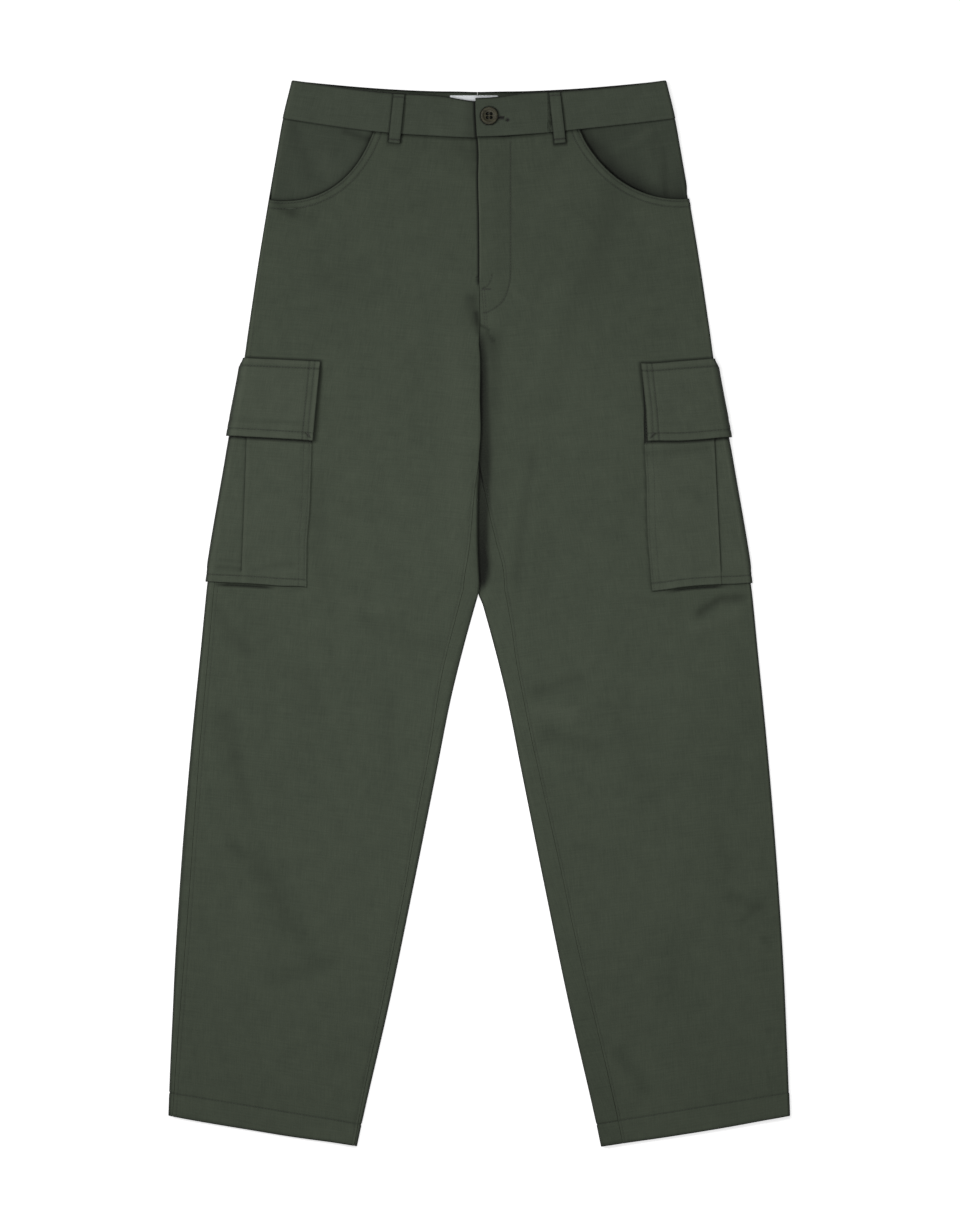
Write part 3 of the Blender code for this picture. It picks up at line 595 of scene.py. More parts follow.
# How far below its plain place the cloth lies: height, and for that height out, distance
LEVEL = ((0, 0.0), (300, 0.0))
RIGHT_POCKET_HIGHER = ((150, 0), (182, -2.4), (203, -1.3), (223, -1.5), (244, -1.2), (269, -0.5), (280, -0.5))
LOWER = {
    LEFT: (
        (FLAP_TOP + 30, LEVEL),
        (FLAP_TOP, ((150, 0), (172, 3.0), (205, 3.6), (230, 4.0), (260, 4.2))),
        (FLAP_BOTTOM, ((155, 0), (179, 0.8), (205, 2.9), (260, 2.8))),
        (FLAP_BOTTOM - 25, LEVEL),
        (POCKET_BOTTOM + 30, LEVEL),
        (POCKET_BOTTOM, ((150, 0), (180, 2.0), (190, 1.6), (205, 0.3), (240, 0), (261, 0.9), (280, 0.9))),
        (POCKET_BOTTOM - 20, LEVEL),
        (HEM_STITCH, LEVEL),
        (HEM, ((127, 1.1), (150, 1.6), (185, 2.6), (205, 2.9), (266, 3.0), (287, 2.6), (312, 2.3))),
    ),
    RIGHT: (
        (FLAP_TOP + 30, LEVEL),
        (FLAP_TOP, ((160, 0), (182, 0.9), (208, 2.0), (228, 3.0), (260, 3.6))),
        (FLAP_BOTTOM, ((182, 0), (213, 0.7), (244, 1.4), (260, 1.5))),
        (FLAP_BOTTOM - 25, LEVEL),
        (POCKET_BOTTOM + 30, LEVEL),
        (POCKET_BOTTOM, RIGHT_POCKET_HIGHER),
        (POCKET_BOTTOM - 20, LEVEL),
        (HEM_STITCH, LEVEL),
        (HEM, ((130, 0.6), (152, 1.0), (172, 1.8), (193, 2.4), (230, 2.6), (295, 2.5), (312, 2.1))),
    ),
}

# How far outwards the cargo pocket's front edge lies from its plain line: height, distance
POCKET_EDGE_SHIFT = {
    LEFT: (
        (190, 0), (171, -1.0), (143, -1.4), (115, -1.2), (85, -2.4), (54, -2.8), (39, -2.3), (20, -1.8),
        (-10, 0),
    ),
    RIGHT: ((110, 0), (85, 0.1), (54, 1.6), (39, 1.3), (20, 1.0), (-10, 0)),
}

# How far to the wearer's left the line between the legs wanders: height, distance
PARTING = (
    (WAIST_TOP, -1.7), (508, -1.5), (497, -0.9), (WAIST_SEAM, -0.1), (475, 0.7), (442, 0.5),
    (406, 1.4), (370, 1.8), (335, 1.9), (314, 2.4), (299, 2.8), (286, 2.4), (276, 1.9), (263, 3.0),
    (248, 3.3), (217, 3.0), (187, 3.7), (156, 2.0), (141, 1.8), (125, 0.8), (105, 0.1), (70, -0.5),
    (44, 0.1), (29, 0.7), (FORK, 0.0),
)
PARTING_REACH = (18.0, 5.0)

# Between the legs the left one's edge sinks and is tucked in under the right one's.
VALLEY_START, VALLEY_END = 305.0, 268.0
VALLEY_OUT, VALLEY_IN = 13.0, 1.5
VALLEY_BELOW, VALLEY_ABOVE = FORK - 14, FORK + 3
VALLEY_SHARE = 0.5
VALLEY_TUCK = 1.7

# height, how dark the sunk edge is, how dark the trough is and how far it reaches, and the slope
VALLEY_SHADES = (
    (306, 0.0, 0.0, 4.0, 0.0),
    (290, 0.15, 0.05, 3.5, 0.04),
    (278, 0.0, 0.36, 3.2, 0.34),
    (263, 0.05, 0.42, 4.5, 0.3),
    (248, 0.12, 0.5, 5.5, 0.24),
    (217, 0.3, 0.45, 7.0, 0.27),
    (187, 0.18, 0.52, 7.8, 0.18),
    (156, 0.05, 0.62, 10.0, 0.16),
    (125, 0.05, 0.56, 10.3, 0.16),
    (95, 0.02, 0.64, 9.8, 0.14),
    (64, 0.0, 0.78, 9.2, 0.12),
    (44, 0.0, 0.84, 9.2, 0.12),
    (34, 0.0, 0.84, 7.6, 0.12),
    (28, 0.0, 0.74, 5.8, 0.1),
    (FORK, 0.0, 0.25, 3.5, 0.0),
    (5, 0.0, 0.0, 3.0, 0.0),
)

# Slow waves of the laid cloth: across, along (in turns for each metre), phase, height
WAVES = ((2.1, 1.3, 0.4, 0.28), (-3.4, 2.2, 1.9, 0.22), (5.2, 4.7, 3.1, 0.12), (-1.2, 7.9, 5.0, 0.1))


def folds(table, side, out, up):
    """Height of a table's creases at points in plan. They fade out beyond both ends of their paths."""
    total = np.zeros(np.shape(out))
    for leg, half_width, height, *path in table:
        if leg == side:
            total += height * line_at(polyline_distance(np.array(path, float), out, up), half_width)
    return total


def waves(x, y):
    total = 0
    for across, along_leg, phase, height in WAVES:
        total += height * np.sin(2 * math.pi * MM * (across * x + along_leg * y) + phase)
    return total


def relief(side, heights, ways, table=CREASES):
    """How far creases and slow waves raise the front, and creases alone. Both fade towards its folds."""
    points, _ = skin(side, heights[:, None], ways)
    girth = half_girth(side, heights, True)[:, None]
    inside = ease(2, 16, ways) * ease(0, 12, girth - ways)
    x, y = points[..., 0], points[..., 1]
    creased = folds(table, side, side * x, y)
    return (creased + waves(x, y)) * inside, creased * inside


def underside_relief(side, heights, ways):
    """How far the creases under the leg stand off the floor."""
    points, _ = skin(side, heights[:, None], ways)
    girth = half_girth(side, heights, False)[:, None]
    inside = ease(6, 24, -ways) * ease(6, 24, girth + ways)
    x, y = points[..., 0], points[..., 1]
    return (folds(BACK_FOLDS, side, side * x, y) - 0.25 - waves(x, y) / 4) * inside


def from_centre(side, up, points, wander=0.0):
    """Distances from the line between the legs."""
    line = wander - CENTRE_DRIFT * ease(FORK, CROTCH, up)
    return side * (points[..., 0] - line)


def lowered(side, up, out):
    """How far below its plain place the cloth lies, between the rows of its table."""
    levels = np.array([level for level, _ in LOWER[side]])
    shifts = np.stack([along(path, out) for _, path in LOWER[side]])
    row = np.broadcast_to(np.interp(-up, -levels, np.arange(len(levels))), out.shape)
    low = np.clip(row.astype(int), 0, len(levels) - 2)
    upper = np.take_along_axis(shifts, low[None], axis=0)[0]
    lower = np.take_along_axis(shifts, low[None] + 1, axis=0)[0]
    return upper + (lower - upper) * ease(0, 1, row - low)


def settle(side, heights, ways, points):
    """Lays the cloth as it was left: the waist's edges lifted a little, and the left leg's inner
    edge tucked in under the right one's along a wandering line."""
    up = heights[:, None]
    points = points.copy()
    out = side * points[..., 0]
    seam, top = along(SEAM_LIFT[side], out), along(TOP_LIFT[side], out)
    in_front = seam * ease(WAIST_SEAM - 12, WAIST_SEAM, up) + (top - seam) * ease(WAIST_SEAM, WAIST_TOP, up)
    behind = along(BACK_TOP_LIFT, out) * ease(WAIST_TOP - 12, WAIST_TOP, up)
    points[..., 1] += np.where(ways > 0, in_front, behind) - lowered(side, up, out)
    from_edge = np.abs(out - along(POCKET_LINES[side], up, 1))
    points[..., 0] += side * along(POCKET_EDGE_SHIFT[side], up) * ease(24, 5, from_edge)
    away = from_centre(side, up, points)
    points[..., 0] += along(PARTING, up) * ease(*PARTING_REACH, np.abs(away))
    curl = np.where(ways > 0, front_curl(up), back_curl(up))
    near = ease(VALLEY_OUT, VALLEY_IN, away) * curl
    near = near * ease(VALLEY_START, VALLEY_END, up) * ease(VALLEY_BELOW, VALLEY_ABOVE, up)
    if side == LEFT:
        points[..., 2] *= 1 - VALLEY_SHARE * near
        points[..., 0] -= VALLEY_TUCK * near
    else:
        points[..., 2] += (2 * fold_radius(up) - points[..., 2]) * VALLEY_SHARE * near
    return points


def line_at(distance, width=LINE_WIDTH):
    """1 on a line, fading out over its width."""
    return np.exp(-((distance / width) ** 2))


def strokes(distance, table):
    """Lines beside an edge: strength, distance in from it, width."""
    return sum(strength * line_at(distance - at, width) for strength, at, width in table)


def lines_at(distance, lines, width=LINE_WIDTH):
    return sum(line_at(distance - line, width) for line in lines)


def graded(distance, strength, start, end):
    """Nothing before the start of a slope, and its full strength past the end."""
    return strength * ease(start, end, distance)


def loop_line(side, up):
    """Out to the middle of the front belt loop."""
    top, bottom = FRONT_LOOPS[side]
    return bottom + (top - bottom) * (up - LOOP_BOTTOM) / (LOOP_TOP - LOOP_BOTTOM)


def shadow_between(side, heights, points):
    """How dark the cloth looks where the left leg slopes down beside the right one."""
    up = heights[:, None]
    away = from_centre(side, up, points, along(PARTING, up))
    if side == RIGHT:
        run = ease(VALLEY_START - 5, VALLEY_END - 15, up) * ease(VALLEY_BELOW - 4, VALLEY_ABOVE + 10, up)
        return run * graded(away, *RIGHT_EDGE_SHADE)
    edge, trough, reach, slope = (along(VALLEY_SHADES, up, column) for column in (1, 2, 3, 4))
    dark = edge * line_at(np.clip(away, 0, None), 3.0) + trough * ease(reach + 5, reach - 2, away)
    return np.clip(dark + slope * ease(28, 12, away), 0, 1)


def shade_outside(side, heights, points):
    """How dark the front is close beside the flap, the pocket and the belt loop that lie on it."""
    out, up = side * points[..., 0], heights[:, None]
    flap_edge, pocket_edge = (along(POCKET_LINES[side], heights, column)[:, None] for column in (2, 1))
    on_flap = ease(FLAP_BOTTOM - 3, FLAP_BOTTOM, up) * ease(FLAP_TOP + 1.5, FLAP_TOP, up)
    beside_flap = graded(flap_edge - out, *BESIDE_FLAP) * on_flap
    over_flap = graded(up - FLAP_TOP, *OVER_FLAP) * ease(-1.5, 0, out - flap_edge) * (up >= FLAP_TOP)
    on_pocket = ease(POCKET_BOTTOM - 1.5, POCKET_BOTTOM, up) * ease(FLAP_BOTTOM + 2, FLAP_BOTTOM, up)
    beside_pocket = graded(pocket_edge - out, POCKET_EDGE_SHADE[side], *BESIDE_POCKET) * on_pocket
    below = POCKET_BOTTOM - up
    gap_from, gap_to = POCKET_GAPES[side]
    gape = ease(gap_from - 2, gap_from + 16, out) * ease(gap_to + 2, gap_to - 16, out)
    under_pocket = (graded(below, *UNDER_POCKET) + gape * graded(below, *UNDER_GAPE)) * (below >= 0)
    under_pocket = under_pocket * ease(-1.5, 0, out - pocket_edge)
    aside = np.clip(np.abs(out - loop_line(side, up)) - LOOP_WIDTH / 2, 0, None)
    under_loop = graded(np.hypot(aside, np.clip(LOOP_BOTTOM - up, 0, None)), *UNDER_LOOP)
    return np.maximum.reduce((beside_flap, over_flap, beside_pocket, under_pocket, under_loop))


def rounding(distance, radius=EDGE_RADIUS):
    """How far a rounded edge has dropped at this distance in from it."""
    left = radius - np.clip(distance, 0, radius)
    return radius - np.sqrt(radius**2 - left**2)


def grooves(distance, lines, depth=GROOVE_DEPTH):
    """The furrows that lines of stitches pull into the cloth, at these distances in from an edge."""
    return -depth * lines_at(distance, lines, GROOVE_WIDTH)


def pucker(distance, position, line=0.0):
    """Small puffs of the cloth along a line of stitches."""
    turn = 2 * math.pi * position / PUCKER_LENGTH
    size = 0.6 + 0.4 * np.sin(0.31 * turn + 1.3)
    near = line_at(distance - line, PUCKER_REACH)
    return PUCKER_HEIGHT * near * size * np.sin(turn + 0.8 * np.sin(0.17 * turn))


def borders(heights, ways):
    """Distances in from the first and last columns and the first and last rows."""
    first, last = np.abs(ways - ways[:, :1]), np.abs(ways - ways[:, -1:])
    top = np.broadcast_to((heights[0] - heights)[:, None], ways.shape)
    bottom = np.broadcast_to((heights - heights[-1])[:, None], ways.shape)
    return first, last, np.abs(top), np.abs(bottom)


def columns(stops, spacing, rims=(RIM, RIM)):
    """Ways from the first stop to the last, closer together beside both ends."""
    stops = [np.asarray(stop, float) for stop in np.broadcast_arrays(*stops)]
    sense = np.sign(stops[-1] - stops[0])
    room = np.abs(stops[1] - stops[0]), np.abs(stops[-1] - stops[-2])
    edges = [stops[0]]
    edges += [stops[0] + sense * np.minimum(rim, room[0] * rim / (rim + 1)) for rim in rims[0]]
    edges += stops[1:-1]
    edges += [stops[-1] - sense * np.minimum(rim, room[1] * rim / (rim + 1)) for rim in rims[1][::-1]]
    edges += [stops[-1]]
    pairs = list(zip(edges, edges[1:]))
    return runs(edges, [max(1, math.ceil(np.abs(end - start).max() / spacing)) for start, end in pairs])


def rows(stops, spacing, rims=(RIM, RIM)):
    """Heights from the first stop down to the last."""
    return columns([np.array([stop]) for stop in stops], spacing, rims)[0]


class Cloth:
    """The outer surface of a piece, as a grid with a row for each height and a column for each way."""

    def __init__(self, side, heights, ways, outside, tone=0.0):
        self.side, self.heights, self.ways = side, heights, ways
        self.base, self.directions = skin(side, heights[:, None], ways)
        self.base = settle(side, heights, ways, self.base)
        self.outside = np.broadcast_to(outside, ways.shape)
        self.points = self.moved(0)
        # Painted shade along the piece's edges and its folds, with a painted highlight beside the folds; at
        # sewn edges the dark is partly the seam's own.
        shade = BORDER_SHADE * line_at(self.edge(), BORDER_WIDTH) + self.fold()
        self.tone = np.clip(tone - shade, -1, 1)

    def edge(self):
        """Distances in from the nearest edge of the piece."""
        return np.minimum.reduce(borders(self.heights, self.ways))

    def fold(self):
        """Painted shade where the cloth turns over at the sides of the leg, with a painted highlight beside
        it.
        """
        heights = self.heights[:, None]
        radius, girth = fold_radius(heights), half_girth(self.side, heights, False)
        inner = np.where(heights < FORK - 6, np.abs(girth - np.abs(self.ways)), FAR_OFF)
        turned = np.minimum(np.abs(self.ways), inner)
        inset = radius * (1 - np.cos(np.clip(turned / radius, 0, QUARTER_TURN)))
        inset = inset + np.clip(turned - radius * QUARTER_TURN, 0, None)
        width = FOLD_SHADE_WIDTH + 0.4 * ease(FORK, FORK - 60, heights)
        return line_at(inset, width) - FOLD_HIGHLIGHT * line_at(inset - FOLD_HIGHLIGHT_AT, 1.3)

    def moved(self, amount):
        """The surface, moved out by so much."""
        return self.base + self.directions * (self.outside + amount)[..., None]

    def at(self, heights, ways):
        """Points and outward directions on the surface, between its rows and columns."""
        heights, ways = np.broadcast_arrays(np.asarray(heights, float), np.asarray(ways, float))
        count = len(self.heights)
        row = np.interp(heights, self.heights[::-1], np.arange(count)[::-1])
        low = np.clip(row.astype(int), 0, count - 2)
        part = (row - low)[:, None]
        here = self.ways[low] * (1 - part) + self.ways[low + 1] * part
        sense = 1 if self.ways[0, -1] > self.ways[0, 0] else -1
        column = np.clip((sense * here <= sense * ways[:, None]).sum(axis=1) - 1, 0, here.shape[1] - 2)
        pick = np.arange(len(ways))
        left, right = here[pick, column], here[pick, column + 1]
        across = np.clip((ways - left) / (right - left), 0, 1)[:, None]
        found = []
        for grid in (self.points, self.directions):
            upper = grid[low, column] * (1 - across) + grid[low, column + 1] * across
            lower = grid[low + 1, column] * (1 - across) + grid[low + 1, column + 1] * across
            found.append(upper * (1 - part) + lower * part)
        length = np.linalg.norm(found[1], axis=1, keepdims=True)
        return found[0], found[1] / np.maximum(length, 1e-6)


def grid_faces(rows_count, columns_count):
    index = np.arange(rows_count * columns_count).reshape(rows_count, columns_count)
    corners = (index[:-1, :-1], index[:-1, 1:], index[1:, 1:], index[1:, :-1])
    return np.stack(corners, axis=-1).reshape(-1, 4)


def border_loop(rows_count, columns_count):
    """Row and column numbers round the border of a grid."""
    index = np.arange(rows_count * columns_count).reshape(rows_count, columns_count)
    loop = np.concatenate([index[0], index[1:, -1], index[-1, -2::-1], index[-2:0:-1, 0]])
    return loop // columns_count, loop % columns_count


def bridge(first, second):
    """Faces between two loops of vertex numbers."""
    return np.stack((first, np.roll(first, -1), np.roll(second, -1), second), axis=-1)


# The finishes made so far, by name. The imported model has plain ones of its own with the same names.
finishes = {}


def finished(name, mesh, finish):
    """A smooth object with this mesh and the finish of this name."""
    mesh.materials.append(finishes[finish])
    mesh.shade_smooth()
    obj = bpy.data.objects.new(name, mesh)
    bpy.context.scene.collection.objects.link(obj)
    return obj


def make_object(name, points, faces, finish, uv=None, tone=None):
    """A smooth mesh from points in millimetres."""
    mesh = bpy.data.meshes.new(name)
    listed = faces.tolist() if isinstance(faces, np.ndarray) else faces
    mesh.from_pydata((np.asarray(points) * MM).tolist(), [], listed)
    if uv is not None:
        layer = mesh.uv_layers.new(name="cloth")
        layer.data.foreach_set("uv", (uv * MM)[faces.ravel()].ravel().astype(np.float32))
        mesh.attributes.new("tone", "FLOAT", "POINT").data.foreach_set("value", tone.astype(np.float32))
    return finished(name, mesh, finish)


def shell(name, cloth, finish, thickness=WALL, closed=False):
    """A piece of cloth with rounded edges: closed, or with its edges turned in under it."""
    count, width = cloth.ways.shape
    faces = [grid_faces(count, width)]
    uv = np.stack((cloth.ways, np.broadcast_to(cloth.heights[:, None], cloth.ways.shape)), axis=-1)
    tone = cloth.tone
    row, column = border_loop(count, width)
    loop = row * width + column
    if closed:
        lower = cloth.moved(2 * rounding(cloth.edge()) - thickness)
        points = np.concatenate([cloth.points.reshape(-1, 3), lower.reshape(-1, 3)])
        faces += [faces[0][:, ::-1] + count * width, bridge(loop + count * width, loop)]
        uv = np.concatenate([uv.reshape(-1, 2)] * 2)
        tone = np.concatenate([tone.ravel()] * 2)
    else:
        inner = (
            np.clip(row, TURN_UNDER, count - 1 - TURN_UNDER),
            np.clip(column, TURN_UNDER, width - 1 - TURN_UNDER),
        )
        edge = cloth.moved(2 * EDGE_RADIUS - thickness)[row, column]
        under = cloth.moved(-thickness)[inner]
        points = np.concatenate([cloth.points.reshape(-1, 3), edge, under])
        start = count * width
        ring, last = start + np.arange(len(loop)), start + len(loop) + np.arange(len(loop))
        faces += [bridge(ring, loop), bridge(last, ring)]
        uv = np.concatenate([uv.reshape(-1, 2), uv[row, column], uv[inner]])
        tone = np.concatenate([tone.ravel(), tone[row, column], np.zeros(len(loop))])
    faces = np.concatenate(faces)
    a, b, c = (cloth.points[1, 1], cloth.points[1, 2], cloth.points[2, 1])
    if np.dot(np.cross(b - a, c - a), cloth.directions[1, 1]) < 0:
        faces = faces[:, ::-1]
    obj = make_object(name, points, faces, finish, uv, tone)
    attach(obj, "root")
    return obj


# Sewn lines, as distances in from an edge.
MOUTH_LINES = (2.6, 8.6)
SEAM_LINE = 2.6
FLAP_LINES = (6.0, 11.0)
FLAP_TOP_LINE = 8.0
FLAP_BOTTOM_LINE = 8.0
POCKET_LINES_IN = (2.4, 8.2)
POCKET_BOTTOM_LINE = 8.0
MOUTH_DENSE = 60
# Painted shade along stitch lines, in creases and at outer edges, with a painted highlight on the creases'
# ridges; the paler values take part of the painted edge shade off the seams and the waist seam.
STITCH_SHADE = 0.35
CREASE_SHADE = 0.14
SEAM_PALER = 0.72
WAIST_PALER = 0.3
EDGE_SHADE = 0.8
EDGE_LINE = 1.2
# The leg's folds: a painted highlight, its strength and how far in it lies, and further down, the width of
# their painted shade.
FOLD_HIGHLIGHT = 0.13
FOLD_HIGHLIGHT_AT = 3.4
FAR_OFF = 99.0
FOLD_SHADE_WIDTH = 1.2
FLAP_CREASE_SHADE = {LEFT: 0.04, RIGHT: 0.14}

# Shadows beside an edge: strength, and the distances from it where they start and are full.
BESIDE_FLAP = (0.65, 3.4, 0.8)
OVER_FLAP = (0.7, 2.6, 0.8)
UNDER_FLAP = (0.85, 4.0, 1.2)
BESIDE_POCKET = (2.6, 0.4)
UNDER_POCKET = (0.85, 2.4, 0.9)
UNDER_GAPE = (0.9, 4.6, 1.6)
UNDER_LOOP = (0.7, 2.2, 0.4)
BESIDE_LOOP = (0.4, 2.2, 0.6)
BESIDE_FLY = (1.0, 3.2, 1.4)
BESIDE_LAP, NEAR_LAP = (1.0, 3.2, 1.3), (0.2, 20, 4)
BESIDE_BUTTON = (1.0, 0.9, 0.0)
RIGHT_EDGE_SHADE = (0.35, 1.2, 0.4)
FLY_DARKER = (0.02, 70, 20)
HEM_PALER = (0.03, 1, 3)

# Paler and darker lines beside an edge, painted highlights and painted shade: strength, distance in from it,
# width.
MOUTH_STROKES = ((0.10, 1.7, 0.7), (0.04, 6.0, 2.0), (-1.0, 0.0, 0.8))
FLY_STROKES = ((0.34, 2.2, 1.1), (-0.5, 0.0, 0.8))
FACING_TOP_STROKES = ((-0.35, 0.0, 1.0),)
BAND_BACK_STROKES = ((-0.6, 0.0, 2.2),)
SLIT_STROKES = ((1.6, 0.0, 0.9),)
KNOT_STROKES, KNOT_STRETCH = ((1.2, 0.0, 1.2),), 1.6
PLEAT_STROKES = ((0.12, 1.8, 1.0),)
POCKET_BOTTOM_STROKES = ((-0.3, 0.0, 0.9),)
FLAP_FRONT_STROKES = ((0.13, 2.2, 1.2),)
FLAP_TOP_STROKES = ((0.16, 3.4, 1.8),)
FLAP_BOTTOM_STROKES = ((0.06, 3.0, 1.6),)
FLAP_CREASE, FLAP_CREASE_DEPTH = ((1.0, 17.0, 2.4),), 0.25
BARTACK_STROKES = ((-0.7, 0.0, 0.8),)
LOOP_SIDE_STROKES = ((-0.25, 0.0, 0.9),)
LOOP_BOTTOM_STROKES = ((-0.7, 3.6, 0.5),)
LOOP_TOP_STROKES = ((-0.25, 3.0, 0.7),)

# How much of a full row's shade the fine rows have, and the depth of finer and deeper furrows.
INSEAM_STITCHED, OUTSEAM_STITCHED, FLAP_TOP_STITCHED = 0.2, 0.15, 1.2
FAINT_GROOVE, FINE_GROOVE, UNDER_GROOVE = 0.12, 0.16, 0.7

# The pocket's pleat and puffed cloth, from its front edge round, and the flap's from its back edge.
PLEAT_COLUMNS = (6, 2.4, 1.2, 0.6, 0.25, 0.02, -0.3, -0.8, -2, -5)
PLEAT_RADIUS = 0.6
PLEAT_SHADE, PLEAT_SHADE_RUN, PLEAT_SEWN_SHADE = 0.95, 0.9, 0.12
PRESSED_SHARE = 0.55
POCKET_FRONT_PUFF = (1.4, 1.4, 1.5, 0.9, 0)
POCKET_SIDE_PUFF = (0, 0.1, 1.2, 0.9, 0.3)
FLAP_PUFF = (0, 0.0, 1.3, 1.6, 1.7, 1.4, 1.0)
FLAP_LOOSE = (0, 0, 0.9, 1, 1, 1, 1)
FLAP_TOP_RIM = (*RIM, 1.9, 3.4, 5, 6.4)
# The ends of the flap's bartack, and of the dark line by it: up from the bottom, in from the front edge.
FLAP_BARTACK = ((8.0, 7.0), (3.0, 3.0))
FLAP_BARTACK_SHADE = ((7.0, 8.0), (3.0, 3.0))

# Raised parts: height, and the distances in from an edge where they start and are full.
GAPE = (1.3, 16, 0)
MOUTH_HEM = (0.35, 0.6, 1.8)
LOOP_RIDGE, LOOP_HOLLOW, LOOP_END = (0.3, 1.2, 3), (-0.15, 3.2, 4.6), (0.7, 4.4, 3.2)
LOOP_EDGE_RADIUS = 0.45
MOUTH_GAPE_REACH = 13.0
FACING_CREASED = 0.6

# Rows at the pocket's mouth, under the waistband and beside the hem's stitches.
ROWS_BELOW_MOUTH = (0.4, 0.8, 1.3, 1.9, 2.5, 3.1, 3.8, 5, 6.5, 7.6, 8.4, 9.2, 10.5, 12, 14)
ROWS_UNDER_BAND = (3.0, 1.6, 0.5)
ROWS_BY_STITCH = (-2, -1.2, -0.6, 0, 0.6, 1.2, 2)
ROWS_BY_FRONT_STITCH = (-2, -1.2, -0.4, 0.4, 1.2, 2)

# How far below the crotch the inner seam shows in full.
INSEAM_STARTS = 40.0

# Finer columns and rows about the stitches of the fly.
FLY_COLUMNS = {
    LEFT: (36.6, 35.2, 34.4, 33.8, 33.2, 32.4, 31, 26, 14, 12, 10, 8, 5),
    RIGHT: (30, 12, 10, 8, 5),
}
FLY_ROWS = (352.0, 284.0)
FLY_SHADE_END = 335.0

# How much paler or darker one piece is than the others.
LEG_PALER = {LEFT: 0.06, RIGHT: 0.045}
POCKET_PALER = {LEFT: 0.04, RIGHT: 0.0}
POCKET_EDGE_PALER = {LEFT: 0.1, RIGHT: 0.5}
POCKET_EDGE_SHADE = {LEFT: 0.4, RIGHT: 0.1}
FLAP_PALER = {LEFT: 0.02, RIGHT: 0.05}
# The facing's extra darkness is painted shade inside the pocket's mouth.
FACING_SHADE = {LEFT: 0.07, RIGHT: 0.0}


def distance_to(path_heights, path_ways, heights, ways):
    """Distances from points to a path, both named by height and way."""
    starts = np.stack((path_ways, path_heights), axis=-1)[:-1]
    spans = np.diff(np.stack((path_ways, path_heights), axis=-1), axis=0)
    nearest = np.full(ways.shape, 1e3)
    for (way, height), (across, up) in zip(starts, spans):
        along_span = (ways - way) * across + (heights - height) * up
        part = np.clip(along_span / max(across**2 + up**2, 1e-9), 0, 1)
        away = np.hypot(ways - way - part * across, heights - height - part * up)
        nearest = np.minimum(nearest, away)
    return nearest


def polyline_distance(path, out, up):
    """Distances from points in plan to a path of (out, up) points."""
    return distance_to(path[:, 1], path[:, 0], up, out)


def fly_stitches():
    """The curved line of stitches that holds the fly's facing, from the waist seam down."""
    top = np.linspace(WAIST_SEAM - 3, FLY_CURVE[0][1], 60)
    straight = np.stack((np.full(60, FLY_CURVE[0][0]), top), axis=1)
    return np.concatenate([straight, bezier(FLY_CURVE, 24)])


def fly_arc():
    return bezier(FLY_ARC, 10)


def below_crotch(up):
    """1 where the inner seam shows along the leg, and 0 above the crotch."""
    return ease(CROTCH, CROTCH - INSEAM_STARTS, up)


